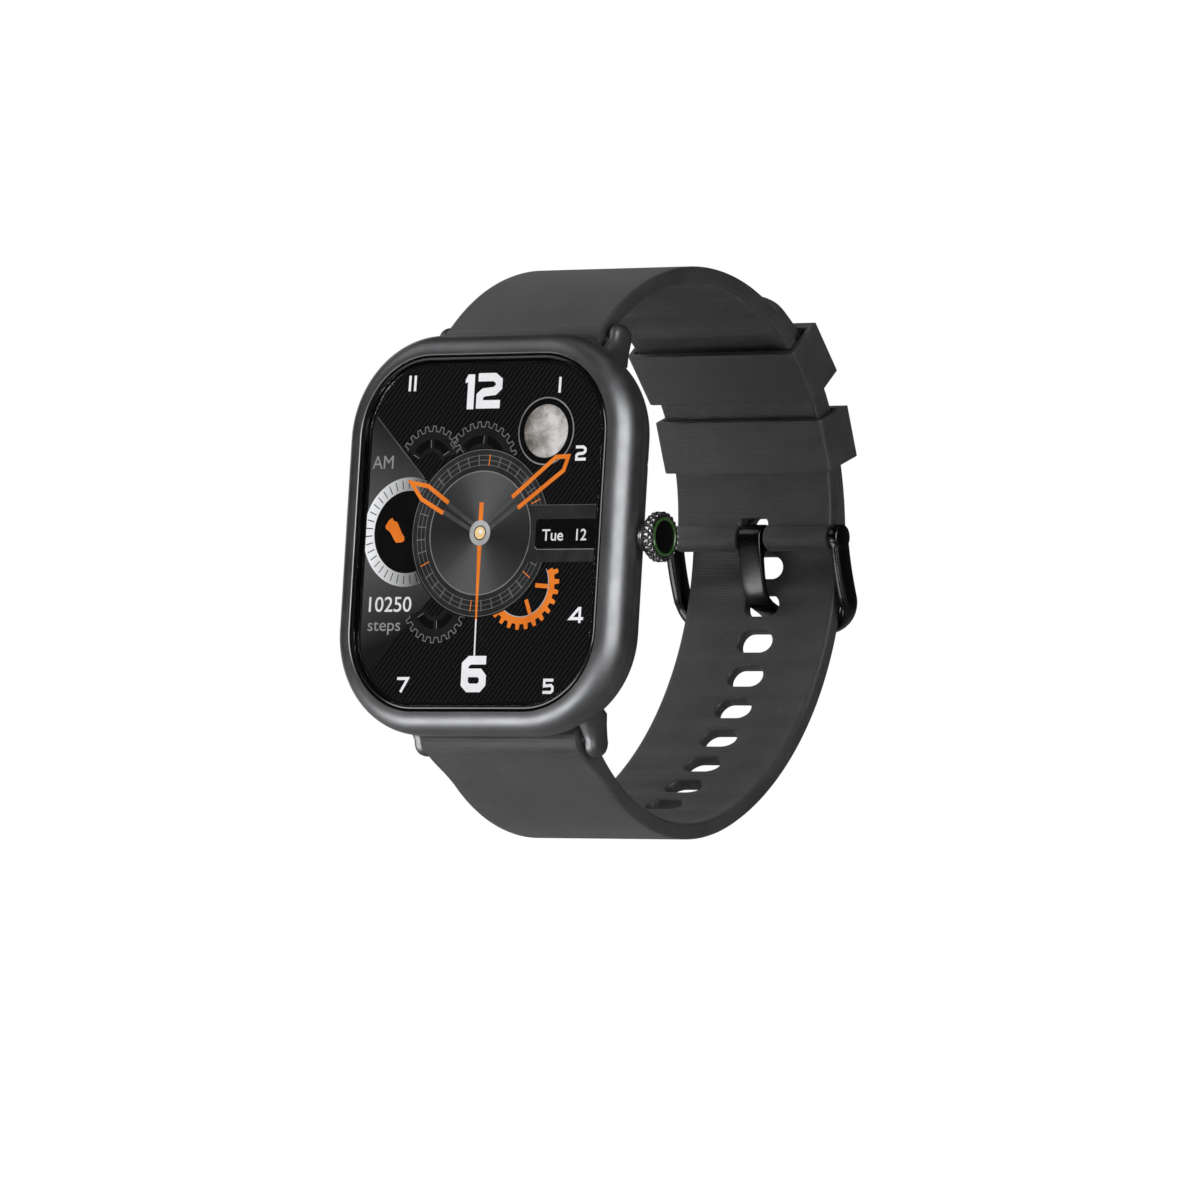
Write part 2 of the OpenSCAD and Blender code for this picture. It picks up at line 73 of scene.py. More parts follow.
def build(name, verts, faces, uvs=None, angle=35.0):
    """An object from points in millimetres and faces, with optional UVs per point."""
    me = bpy.data.meshes.new(name)
    me.from_pydata([(x * MM, y * MM, z * MM) for x, y, z in verts], [], faces)
    me.update()
    layer = me.uv_layers.new(name="UVMap")
    if uvs:
        for loop in me.loops:
            layer.data[loop.index].uv = uvs[loop.vertex_index]
    ob = bpy.data.objects.new(name, me)
    COLLECTION.objects.link(ob)
    return finish_mesh(ob, angle)


def evaluated(ob):
    """Applies an object's modifiers to its mesh."""
    dg = bpy.context.evaluated_depsgraph_get()
    me = bpy.data.meshes.new_from_object(ob.evaluated_get(dg))
    ob.modifiers.clear()
    old = ob.data
    ob.data = me
    bpy.data.meshes.remove(old)
    return ob


def boolean(ob, others, operation, angle=35.0):
    for other in others:
        m = ob.modifiers.new("cut", "BOOLEAN")
        m.operation = operation
        m.solver = "EXACT"
        m.object = other
        evaluated(ob)
        old = other.data
        bpy.data.objects.remove(other)
        bpy.data.meshes.remove(old)
    return finish_mesh(ob, angle)


def bevel(ob, width, segments=3, angle=30.0):
    m = ob.modifiers.new("edges", "BEVEL")
    m.width = width * MM
    m.segments = segments
    m.limit_method = "ANGLE"
    m.angle_limit = math.radians(angle)
    m.harden_normals = False
    evaluated(ob)
    return finish_mesh(ob, 50.0)


def prism(name, outline, x0, x1):
    """A YZ outline carried along X."""
    n = len(outline)
    verts = [(x, y, z) for x in (x0, x1) for y, z in outline]
    faces = [tuple(range(n)), tuple(range(2 * n - 1, n - 1, -1))]
    faces += [(i, n + i, n + (i + 1) % n, (i + 1) % n) for i in range(n)]
    return build(name, verts, faces)


def lathe(name, profile, y, z, n=96, tooth=None):
    """Revolves x, r points about an X axis at y, z; tooth(x, angle) adds to the radius."""
    verts, faces = [], []
    for i in range(n):
        t = 2 * math.pi * i / n
        for x, r in profile:
            q = r + (tooth(x, t) if tooth and r > 0.2 else 0.0)
            verts.append((x, y + q * math.cos(t), z + q * math.sin(t)))
    m = len(profile)
    for i in range(n):
        j = (i + 1) % n
        for k in range(m - 1):
            faces.append((i * m + k, j * m + k, j * m + k + 1, i * m + k + 1))
    uvs = [(v[0], 0.0) for v in verts]
    ob = build(name, verts, faces, uvs)
    bm = bmesh.new()
    bm.from_mesh(ob.data)
    bmesh.ops.remove_doubles(bm, verts=bm.verts, dist=1e-6)
    bmesh.ops.holes_fill(bm, edges=[e for e in bm.edges if e.is_boundary], sides=0)
    bm.to_mesh(ob.data)
    bm.free()
    return finish_mesh(ob, 35.0)


def cylinder(name, x0, x1, r, y, z, n=64, rim=0.0):
    if rim:
        profile = [(x0, r - rim), (x0 + rim * 0.3, r - rim * 0.3), (x0 + rim, r),
                   (x1 - rim, r), (x1 - rim * 0.3, r - rim * 0.3), (x1, r - rim)]
    else:
        profile = [(x0, r), (x1, r)]
    return lathe(name, profile, y, z, n)


def rounded(w, h, r, n=24):
    """Points with outward normals round a rounded rectangle in X and Z."""
    out = []
    for q, (sx, sz) in enumerate(((1, 1), (-1, 1), (-1, -1), (1, -1))):
        for i in range(n + 1):
            a = math.radians(q * 90 + 90 * i / n)
            c, s = math.cos(a), math.sin(a)
            out.append((sx * (w / 2 - r) + r * c, sz * (h / 2 - r) + r * s, c, s))
    return out


def around(name, w, h, r, profile, closed=True, angle=35.0):
    """Sweeps (outward, height) points round a rounded rectangle."""
    path = rounded(w, h, r)
    m, n = len(profile), len(path)
    verts = [(x + nx * o, -t, z + nz * o) for x, z, nx, nz in path for o, t in profile]
    faces = []
    for i in range(n):
        j = (i + 1) % n
        for k in range(m if closed else m - 1):
            l = (k + 1) % m
            faces.append((i * m + k, j * m + k, j * m + l, i * m + l))
    if not closed:
        faces.append(tuple(i * m for i in range(n)))
        faces.append(tuple(i * m + m - 1 for i in range(n - 1, -1, -1)))
    return build(name, verts, faces, angle=angle)


# ---------------------------------------------------------------- node helpers
class Nodes:
    """Builds one procedural material on the Principled shader."""

    def __init__(self, name, color, metallic=0.0, roughness=0.5, **inputs):
        self.mat = bpy.data.materials.new(name)
        self.mat.use_nodes = True
        self.tree = self.mat.node_tree
        self.shader = self.tree.nodes["Principled BSDF"]
        self.shader.inputs["Base Color"].default_value = (*color, 1.0)
        self.shader.inputs["Metallic"].default_value = metallic
        self.shader.inputs["Roughness"].default_value = roughness
        for key, value in inputs.items():
            self.shader.inputs[key.replace("_", " ")].default_value = value
        self.coords = self.tree.nodes.new("ShaderNodeTexCoord")
        self.mat.diffuse_color = (*color, 1.0)

    def node(self, kind, links=(), **values):
        n = self.tree.nodes.new("ShaderNode" + kind)
        for key, value in values.items():
            if hasattr(n, key) and key not in n.inputs:
                setattr(n, key, value)
            else:
                n.inputs[key].default_value = value
        for key, source in dict(links).items():
            self.tree.links.new(source, n.inputs[key])
        return n

    def place(self, scale=(1, 1, 1), source="Object", rotation=(0, 0, 0)):
        """Coordinates in millimetres times a scale."""
        k = 1000.0 if source == "Object" else 1.0
        n = self.node("Mapping", {"Vector": self.coords.outputs[source]})
        n.inputs["Scale"].default_value = tuple(k * s for s in scale)
        n.inputs["Rotation"].default_value = rotation
        return n.outputs[0]

    def noise(self, scale, detail=3.0, vector=None, roughness=0.5):
        vector = vector or self.place()
        return self.node("TexNoise", {"Vector": vector}, Scale=scale, Detail=detail,
                         Roughness=roughness).outputs["Fac"]

    def math(self, operation, a, b=0.0, c=None):
        n = self.tree.nodes.new("ShaderNodeMath")
        n.operation = operation
        for i, v in enumerate((a, b) if c is None else (a, b, c)):
            if isinstance(v, (int, float)):
                n.inputs[i].default_value = v
            else:
                self.tree.links.new(v, n.inputs[i])
        return n.outputs[0]

    def ramp(self, fac, stops):
        n = self.tree.nodes.new("ShaderNodeValToRGB")
        self.tree.links.new(fac, n.inputs[0])
        e = n.color_ramp.elements
        while len(e) < len(stops):
            e.new(0.5)
        for el, (pos, col) in zip(e, stops):
            el.position = pos
            el.color = (*col, 1.0) if len(col) == 3 else col
        return n.outputs[0]

    def color(self, fac, low, high, a=0.3, b=0.7):
        """Colours the surface between two tones by a pattern."""
        self.tree.links.new(self.ramp(fac, [(a, low), (b, high)]),
                            self.shader.inputs["Base Color"])

    def rough(self, fac, low, high):
        n = self.node("MapRange", {"Value": fac})
        n.inputs["From Min"].default_value = 0.3
        n.inputs["From Max"].default_value = 0.7
        n.inputs["To Min"].default_value = low
        n.inputs["To Max"].default_value = high
        self.tree.links.new(n.outputs[0], self.shader.inputs["Roughness"])

    def bump(self, height, distance, strength=1.0, onto=None):
        """Adds relief of a depth in millimetres."""
        links = {"Height": height}
        if onto is not None:
            links["Normal"] = onto
        n = self.node("Bump", links, Strength=strength, Distance=distance * MM)
        self.tree.links.new(n.outputs[0], self.shader.inputs["Normal"])
        return n.outputs[0]


def tone(v, tint=(1.0, 1.0, 1.0)):
    return tuple(v * t for t in tint)


def strap_material():
    """Soft silicone with a fine twill moulded into it and a dusty, uneven bloom."""
    m = Nodes("strap_silicone", tone(0.07), 0.0, 0.6, Specular_IOR_Level=0.35,
              Sheen_Weight=0.12, Sheen_Roughness=0.5)
    sep = m.node("SeparateXYZ", {"Vector": m.place()})
    u = sep.outputs[0]
    v = m.math("MULTIPLY", m.math("ARCTAN2", sep.outputs[2],
                                  m.math("SUBTRACT", sep.outputs[1], 17.0)), 28.0)
    pitch = 2 * math.pi / 0.58
    a = m.math("SINE", m.math("MULTIPLY", m.math("ADD", u, v), pitch))
    b = m.math("SINE", m.math("MULTIPLY", m.math("SUBTRACT", u, v), pitch))
    weave = m.math("MULTIPLY_ADD", m.math("MULTIPLY", a, b), 0.5, 0.5)
    cloud = m.noise(0.16, 4.0)
    grain = m.noise(9.0, 2.0)
    mix = m.math("ADD", m.math("MULTIPLY", cloud, 0.75), m.math("MULTIPLY", weave, 0.34))
    m.color(m.math("ADD", mix, m.math("MULTIPLY", grain, 0.15)),
            (0.056, 0.056, 0.058), (0.098, 0.098, 0.1), 0.35, 0.85)
    m.rough(cloud, 0.5, 0.66)
    first = m.bump(weave, 0.04, 0.85)
    m.bump(grain, 0.012, 0.7, first)
    return m.mat


def gunmetal_material():
    """Dark satin coating over blasted metal, a little brighter where it is handled."""
    m = Nodes("gunmetal_coating", tone(0.12), 1.0, 0.3, Coat_Weight=0.15, Coat_Roughness=0.25)
    m.color(m.noise(0.22, 4.0), (0.125, 0.127, 0.131), (0.155, 0.157, 0.161))
    m.rough(m.noise(0.6, 5.0), 0.41, 0.48)
    fine = m.bump(m.noise(14.0, 2.0), 0.004, 0.6)
    m.bump(m.noise(3.0, 3.0), 0.004, 0.4, fine)
    return m.mat


def black_metal_material(name="black_coating", level=0.02, low=0.2, high=0.3):
    """Polished black plating with faint hairlines."""
    m = Nodes(name, tone(level), 1.0, 0.2, Coat_Weight=0.3, Coat_Roughness=0.15)
    m.color(m.noise(0.5, 3.0), tone(level * 0.85), tone(level * 1.15))
    hair = m.noise(6.0, 3.0, m.place((0.15, 1.6, 1.6)))
    m.rough(hair, low, high)
    m.bump(hair, 0.003, 0.4)
    return m.mat


def steel_material():
    """Turned stainless steel with fine rings of tool marks."""
    m = Nodes("turned_steel", (0.6, 0.61, 0.63), 1.0, 0.28)
    marks = m.noise(5.0, 3.0, m.place((5.0, 0.5, 0.5)))
    m.color(marks, (0.52, 0.53, 0.55), (0.66, 0.67, 0.69))
    m.rough(marks, 0.22, 0.36)
    m.bump(marks, 0.004, 0.5)
    return m.mat


def plastic_material(name, low, high, rough=(0.42, 0.56), grain=16.0, depth=0.012, **inputs):
    """Moulded plastic with a fine spark-eroded grain."""
    m = Nodes(name, low, 0.0, rough[0], **inputs)
    m.color(m.noise(0.7, 3.0), low, high)
    spark = m.noise(grain, 2.0)
    m.rough(spark, *rough)
    m.bump(spark, depth, 0.6)
    return m.mat


def board_material():
    """Green solder mask over a grid of copper tracks."""
    m = Nodes("solder_mask", (0.02, 0.15, 0.07), 0.0, 0.3)
    brick = m.node("TexBrick", {"Vector": m.place((0.8, 0.8, 0.8))}, Scale=1.0)
    brick.inputs["Mortar Size"].default_value = 0.06
    m.color(brick.outputs["Fac"], (0.012, 0.1, 0.045), (0.03, 0.2, 0.09), 0.2, 0.8)
    m.bump(brick.outputs["Fac"], 0.02, 0.5)
    return m.mat


def metal_material(name, low, high, rough):
    """Plated or bare metal with a drifting tone."""
    m = Nodes(name, low, 1.0, rough[0])
    m.color(m.noise(1.2, 3.0), low, high)
    m.rough(m.noise(4.0, 3.0), *rough)
    m.bump(m.noise(10.0, 2.0), 0.003, 0.5)
    return m.mat


def glass_material(name, tint, rough):
    """Clear cover with the faintest smears in its polish."""
    m = Nodes(name, tint, 0.0, rough, IOR=1.45, Transmission_Weight=1.0,
              Specular_IOR_Level=0.35)
    smear = m.noise(0.25, 4.0, m.place((1.0, 1.0, 0.4)))
    m.color(smear, tone(0.985, tint), tint)
    return m.mat


def sensor_glass_material():
    """Dark tinted window over the optical sensor with a faint ring print."""
    m = Nodes("sensor_glass", tone(0.012), 0.0, 0.08, Coat_Weight=1.0, Coat_Roughness=0.03)
    sep = m.node("SeparateXYZ", {"Vector": m.place()})
    radius = m.math("SQRT", m.math("ADD", m.math("POWER", sep.outputs[0], 2.0),
                                   m.math("POWER", sep.outputs[2], 2.0)))
    m.color(m.math("MULTIPLY", radius, 0.1), (0.03, 0.012, 0.014), (0.008, 0.008, 0.01),
            0.3, 0.62)
    m.rough(m.noise(0.5, 3.0), 0.05, 0.1)
    return m.mat


def screen_material(name, color, strength=1.0):
    """A lit area of the display: black when off, with fine rows of pixels."""
    m = Nodes(name, (0.001, 0.001, 0.0012), 0.0, 0.5, Specular_IOR_Level=0.0)
    sep = m.node("SeparateXYZ", {"Vector": m.place()})
    rows = m.math("SINE", m.math("MULTIPLY", sep.outputs[2], 2 * math.pi / 0.12))
    level = m.math("MULTIPLY_ADD", rows, 0.03, 0.97)
    lit = m.ramp(level, [(0.9, tone(0.92, color)), (1.0, color)])
    m.tree.links.new(lit, m.shader.inputs["Emission Color"])
    m.shader.inputs["Emission Strength"].default_value = strength
    return m


def lit_pattern(m, pattern, stops, strength=1.0):
    """Replaces a screen material's colour with a pattern's."""
    m.tree.links.new(m.ramp(pattern, stops), m.shader.inputs["Emission Color"])
    m.shader.inputs["Emission Strength"].default_value = strength
    return m.mat


# ---------------------------------------------------------------- materials
STRAP = strap_material()
GUNMETAL = gunmetal_material()
BLACK_METAL = black_metal_material()
CROWN_METAL = black_metal_material("crown_coating", 0.22, 0.16, 0.26)
CAP_METAL = black_metal_material("cap_coating", 0.03, 0.1, 0.2)
STEEL = steel_material()
DARK_PLASTIC = plastic_material("dark_plastic", tone(0.02), tone(0.03))
GREEN_TRIM = plastic_material("green_enamel", (0.05, 0.17, 0.03), (0.08, 0.25, 0.05),
                              (0.2, 0.3), 8.0, 0.006, Coat_Weight=0.6)
SLOT_MATERIALS = {
    "glass": glass_material("cover_glass", (0.97, 0.98, 1.0), 0.0),
    "display": plastic_material("display_back", tone(0.01), tone(0.015)),
    "black_gasket": plastic_material("gasket_rubber", tone(0.012), tone(0.02), (0.6, 0.75)),
    "gunmetal": GUNMETAL,
    "inner_metal": metal_material("bare_alloy", tone(0.42), tone(0.52), (0.35, 0.5)),
    "flex": plastic_material("amber_film", (0.3, 0.12, 0.03), (0.4, 0.18, 0.05), (0.3, 0.4)),
    "board": board_material(),
    "steel": STEEL,
    "battery_foil": metal_material("battery_foil", tone(0.55), tone(0.68), (0.3, 0.45)),
    "dark_plastic": DARK_PLASTIC,
    "sensor_glass": sensor_glass_material(),
    "led": plastic_material("led_lens", (0.6, 0.7, 0.5), (0.75, 0.82, 0.66), (0.15, 0.25)),
    "gold": metal_material("gold_plate", (0.75, 0.5, 0.18), (0.85, 0.6, 0.25), (0.18, 0.3)),
    "red_rubber": plastic_material("seal_rubber", (0.25, 0.02, 0.02), (0.35, 0.04, 0.03)),
    "black_metal": BLACK_METAL,
    "green_trim": GREEN_TRIM,
    "strap_rubber": STRAP,
}
SLOTS = {s["node"]: s["material_slot"] for s in frame["record"]["subparts"]}
for node_name, node_ob in frame["nodes"].items():
    node_ob.data.materials.clear()
    node_ob.data.materials.append(SLOT_MATERIALS[SLOTS[node_name]])
    for poly in node_ob.data.polygons:
        poly.use_smooth = True
    node_ob.data.set_sharp_from_angle(angle=math.radians(30))


def piece(ob, body, slot, material, *nodes):
    """Dresses a piece, hangs it on its body and hides the CAD nodes it stands for."""
    ob.data.materials.clear()
    ob.data.materials.append(material)
    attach(ob, body)
    if nodes:
        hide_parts(*nodes)
    return ob


# ---------------------------------------------------------------- case
CASE_W, CASE_H, CASE_R = 39.9, 46.1, 12.0
REAR = (38.1, 44.3, 11.1)
GLASS = (34.5, 40.7, 9.3)
CROWN_Y = -4.8
LUG_Y, LUG_Z = -3.0, 22.8

bezel_profile = (
    [(-3.55, 6.6), (-3.55, 10.0), (-2.62, 10.0), (-2.6, 10.95)]
    + [(-2.52, 11.03)]
    + arc((-2.5, 8.6), 2.42, 88, 2, 4)
    + [(0.0 - 0.08, 7.9)]
    + arc((-1.4, 7.8), 1.32, 0, -62, 6)
    + [(-0.82, 6.6)]
)
bezel = around("bezel_shell", CASE_W, CASE_H, CASE_R, bezel_profile, angle=40)
bezel = boolean(bezel, [cylinder("cut", 19.5, 30, 3.2, CROWN_Y, 0, 96)], "DIFFERENCE", 40)
piece(bezel, "watch", "gunmetal", GUNMETAL, "bezel_frame")

rear_profile = (
    [(-2.6, 3.6), (-2.6, 6.6), (-0.15, 6.6), (0.0, 6.45)]
    + arc((-2.4, 5.8), 2.4, 0, -90, 6)
    + [(-2.9, 2.66), (-2.95, 2.6), (-3.3, 2.6), (-3.3, 2.85), (-4.1, 2.85), (-4.1, 3.6)]
)
case = around("rear_case_shell", *REAR, rear_profile, angle=40)
cuts = [cylinder("cut", -11.2, 11.2, 2.15, LUG_Y, s * LUG_Z, 96) for s in (-1, 1)]
case = boolean(case, cuts, "DIFFERENCE", 40)


LUG_STATIONS = (
    (19.1, -6.5, -2.9, 13.6), (19.8, -6.48, -1.62, 13.5), (20.4, -6.25, -1.4, 13.35),
    (21.0, -5.6, -1.15, 13.15), (21.7, -4.9, -0.88, 13.0), (22.4, -4.33, -0.6, 12.88),
    (23.05, -3.85, -0.37, 12.82), (23.6, -3.76, -0.45, 12.8), (24.1, -3.5, -0.7, 12.74),
    (24.4, -3.2, -1.0, 12.6), (24.62, -2.88, -1.32, 12.38), (24.76, -2.45, -1.75, 12.08)
)


def lug(sx, sz, m=32):
    """A rounded horn that swells where it leaves the case; stations run outward in Z."""
    verts, faces = [], []
    for z, front, rear, outer in LUG_STATIONS:
        inner = 11.2 + 0.35 * max(0.0, (z - 24.2) / 0.55) ** 2
        cx, cy = (inner + outer) / 2, (front + rear) / 2
        for k in range(m):
            t = 2 * math.pi * k / m
            ca, sa = math.cos(t), math.sin(t)
            x = cx + math.copysign(abs(ca) ** 0.62, ca) * (outer - inner) / 2
            y = cy + math.copysign(abs(sa) ** 0.72, sa) * (rear - front) / 2
            if ca < 0:
                ahead = min(1.0, max(0.0, (-y - 5.0) / 1.2))
                x += 1.2 * ca * ahead * min(1.0, max(0.0, (22.2 - z) / 1.6))
            else:
                ahead = min(1.0, max(0.0, (-y - 5.0) / 1.2))
                x += 0.9 * ca * ahead * min(1.0, max(0.0, (22.0 - z) / 1.6))
            verts.append((sx * x, y, sz * z))
    n = len(LUG_STATIONS)
    for i in range(n - 1):
        for k in range(m):
            j = (k + 1) % m
            faces.append((i * m + k, i * m + j, (i + 1) * m + j, (i + 1) * m + k))
    faces.append(tuple(range(m)))
    faces.append(tuple((n - 1) * m + k for k in range(m)))
    return build("lug", verts, faces, angle=50)


lugs = [lug(sx, sz) for sx in (-1, 1) for sz in (-1, 1)]
case = boolean(case, lugs, "UNION", 40)
holes = [cylinder("cut", 15, 21, 1.6, CROWN_Y, 0, 64),
         cylinder("cut", 16, 21, 0.4, -4.4, 8.3, 32)]
for i in (-1.5, -0.5, 0.5, 1.5):
    z0 = 2.4 * i
    slot_outline = (arc((-4.3, z0 + 0.6), 0.3, 0, 180, 15)
                    + arc((-4.3, z0 - 0.6), 0.3, 180, 360, 15))
    holes.append(prism("cut", slot_outline, -21, -16))
case = boolean(case, holes, "DIFFERENCE", 40)
piece(case, "watch", "gunmetal", GUNMETAL, "mid_case")

# Clear middle of the glass, and its rounded edge over the black border print
glass = around("cover_lens", *GLASS, [(-0.55, 10.2), (-0.55, 10.98), (-0.57, 11.0)], closed=False,
               angle=30)
piece(glass, "watch", "glass", SLOT_MATERIALS["glass"], "cover_glass")
BORDER = plastic_material("border_print", tone(0.004), tone(0.006), (0.1, 0.16), 6.0, 0.001)
rim_profile = ([(-0.05, 10.2), (-0.55, 10.2), (-0.55, 11.0)]
               + [(-0.05 - 0.45 * (1 - math.cos(math.radians(a))),
                   10.62 + 0.38 * math.sin(math.radians(a))) for a in range(90, -1, -15)])
piece(around("cover_lens_edge", *GLASS, rim_profile, angle=30), "watch", "glass", BORDER)

# ---------------------------------------------------------------- crown
KNOB_X, KNOB_END = 20.1, 21.75
TEETH = 22


def crown_tooth(x, t):
    """Two staggered rows of rounded teeth with a groove between them."""
    lift = 0.0
    for row in (0, 1):
        mid = KNOB_X + 0.42 + 0.62 * (row + 0.5)
        along = max(0.0, 1.0 - abs((x - mid) / 0.3) ** 4)
        phase = math.cos(TEETH * t + row * math.pi)
        across_tooth = 1 / (1 + math.exp(-5.5 * (phase + 0.05)))
        lift += 0.3 * along * across_tooth
    return lift


knob_profile = [(KNOB_X, 0.0), (KNOB_X, 2.2), (KNOB_X + 0.08, 2.42), (KNOB_X + 0.4, 2.56)]
knob_profile += [(KNOB_X + 0.42 + 0.04 * i, 2.58) for i in range(31)]
knob_profile += [(KNOB_END - 0.05, 2.5), (KNOB_END - 0.01, 2.42), (KNOB_END, 2.34),
                 (KNOB_END - 0.02, 2.26), (KNOB_END - 0.3, 2.25), (KNOB_END - 0.3, 0.0)]
knob_profile = [p for i, p in enumerate(knob_profile)
                if i == 0 or p[0] >= knob_profile[i - 1][0] - 0.4]
knob = lathe("crown_grip", knob_profile, CROWN_Y, 0, 22 * 18, crown_tooth)
piece(knob, "crown_turn", "black_metal", CROWN_METAL, "crown_knob")
ring_profile = [(KNOB_END - 0.28, 1.88), (KNOB_END + 0.08, 1.88), (KNOB_END + 0.13, 1.93),
                (KNOB_END + 0.15, 2.0), (KNOB_END + 0.14, 2.12), (KNOB_END + 0.1, 2.2),
                (KNOB_END + 0.02, 2.235), (KNOB_END - 0.28, 2.235), (KNOB_END - 0.28, 1.88)]
piece(lathe("crown_ring", ring_profile, CROWN_Y, 0), "crown_turn", "green_trim",
      GREEN_TRIM, "crown_trim_ring")
cap_profile = [(KNOB_END - 0.3, 0.0), (KNOB_END - 0.3, 1.87)] + [
    (KNOB_END - 0.06 + 0.11 * math.cos(math.radians(a)), 1.87 * math.sin(math.radians(a)))
    for a in range(90, -1, -10)]
piece(lathe("crown_dome", cap_profile, CROWN_Y, 0), "crown_turn", "black_metal",
      CAP_METAL, "crown_cap")

# ---------------------------------------------------------------- band
REAR_C, REAR_R = (19.5, 6.0), 24.0
TOP_A, LOW_A, BOTTOM_A, LUG_A = 15.5, 21.9, -64.8, -131.9
TOP_R, LOW_R, BOTTOM_R = 26.55, 32.6, 20.6
THIN_A, TIP_A, LUG_STRAIGHT = 41, 65, 4.33
TOP_C = polar(REAR_C, REAR_R - TOP_R, TOP_A)
LOW_C = polar(TOP_C, TOP_R - LOW_R, LOW_A)
BOTTOM_C = polar(LOW_C, LOW_R - BOTTOM_R, BOTTOM_A)
BAND_T, LONG_IN = 1.9, 2.1
BAR = (44.2, 5.6)
HOLE_PITCH, TONGUE_HOLE = 4.6, -18.98


def chain(segments, s, d):
    """Point at length s and distance d outside the inner chain. A segment is
    (start length, centre, radius, start angle, middle radius)."""
    use = segments[0]
    for seg in segments:
        if s >= seg[0]:
            use = seg
    s0, c, r, a0, mid = use
    if r is None:
        (py, pz), (ty, tz), (ny, nz) = c, a0, mid
        k = s - s0
        return py + ty * k + ny * d, pz + tz * k + nz * d
    return polar(c, r + d, a0 + math.degrees((s - s0) / mid))


def flat_band(name, loops, s_cuts, rim, place, inner_relief):
    """Fills flat loops of (x, s) with rounded rims, cuts them into strips and bends them."""
    cu = bpy.data.curves.new(name, "CURVE")
    cu.dimensions = "2D"
    cu.fill_mode = "BOTH"
    cu.extrude = (BAND_T / 2 - rim) * MM
    cu.bevel_depth = rim * MM
    cu.bevel_resolution = 2
    cu.offset = -rim * MM
    for loop in loops:
        sp = cu.splines.new("POLY")
        sp.points.add(len(loop) - 1)
        for p, (x, s) in zip(sp.points, loop):
            p.co = (x * MM, s * MM, 0, 1)
        sp.use_cyclic_u = True
    tmp = bpy.data.objects.new(name, cu)
    COLLECTION.objects.link(tmp)
    dg = bpy.context.evaluated_depsgraph_get()
    me = bpy.data.meshes.new_from_object(tmp.evaluated_get(dg))
    bpy.data.objects.remove(tmp)
    bm = bmesh.new()
    bm.from_mesh(me)
    bmesh.ops.remove_doubles(bm, verts=bm.verts, dist=2e-6)
    bmesh.ops.dissolve_limit(bm, angle_limit=0.01, verts=bm.verts, edges=bm.edges)
    for x in (-10.6, -9.8, -8.6, 8.6, 9.8, 10.6):
        bmesh.ops.bisect_plane(bm, geom=bm.verts[:] + bm.edges[:] + bm.faces[:], dist=2e-7,
                               plane_co=(x * MM, 0, 0), plane_no=(1, 0, 0))
    for s in s_cuts:
        bmesh.ops.bisect_plane(bm, geom=bm.verts[:] + bm.edges[:] + bm.faces[:], dist=2e-7,
                               plane_co=(0, s * MM, 0), plane_no=(0, 1, 0))
    uv = bm.loops.layers.uv.get("UVMap") or bm.loops.layers.uv.new("UVMap")
    for face in bm.faces:
        for loop in face.loops:
            loop[uv].uv = (loop.vert.co.x / MM, loop.vert.co.y / MM)
    for v in bm.verts:
        x, s, d = v.co.x / MM, v.co.y / MM, v.co.z / MM + BAND_T / 2
        d += inner_relief(x, s) * (1 - d / BAND_T)
        y, z = place(s, d)
        v.co = (x * MM, y * MM, z * MM)
    bm.to_mesh(me)
    bm.free()
    ob = bpy.data.objects.new(name, me)
    for layer in list(me.uv_layers):
        if layer.name != "UVMap":
            me.uv_layers.remove(layer)
    COLLECTION.objects.link(ob)
    return finish_mesh(ob, 40)


def span(a, b, n):
    return [a + (b - a) * i / n for i in range(n + 1)]


# Short half: its length runs from the buckle's end over the top to the upper lug
REAR_MID, TOP_MID = REAR_R + BAND_T / 2, TOP_R + BAND_T / 2
short_rear = math.radians(TOP_A + 1) * REAR_MID
short_end = short_rear + math.radians(138.5 - TOP_A) * TOP_MID
short_chain = [(0.0, REAR_C, REAR_R, -1.0, REAR_MID),
               (short_rear, TOP_C, TOP_R, float(TOP_A), TOP_MID)]
NOTCH, NOTCH_S = 1.95, 2.3


def short_relief(x, s):
    """Soft ribs across the inner face, deepest over the top."""
    u = (s / HOLE_PITCH) % 1.0
    edge = min(1.0, max(0.0, (10.2 - abs(x)) / 1.2))
    reach = min(1.0, max(0.0, (s - 20.0) / 4.0)) * min(1.0, max(0.0, (62.5 - s) / 3.0))
    return (0.72 * 4 * u * (1 - u) * reach + 0.05 * 4 * u * (1 - u) * (1 - reach)) * edge


half = 11.0
outline = ([(half, 0.0), (half, short_end), (-half, short_end), (-half, 0.0)]
           + [(-NOTCH, 0.0), (-NOTCH, NOTCH_S - 0.5), (-NOTCH + 0.15, NOTCH_S - 0.15),
              (-NOTCH + 0.5, NOTCH_S), (NOTCH - 0.5, NOTCH_S), (NOTCH - 0.15, NOTCH_S - 0.15),
              (NOTCH, NOTCH_S - 0.5), (NOTCH, 0.0)])
short = flat_band("band_short_skin", [outline], span(0.3, short_end - 0.3, 108), 0.38,
                  lambda s, d: chain(short_chain, s, d * 0.99), short_relief)


def barrel(x0, x1, r, y, z):
    return cylinder("barrel", x0, x1, r, y, z, 72, 0.3)


short = boolean(short, [barrel(-11, 11, 1.85, LUG_Y, LUG_Z),
                        barrel(-11, -NOTCH, 1.6, *BAR), barrel(NOTCH, 11, 1.6, *BAR)],
                "UNION", 38)
piece(short, "watch", "strap_rubber", STRAP, "band_short")

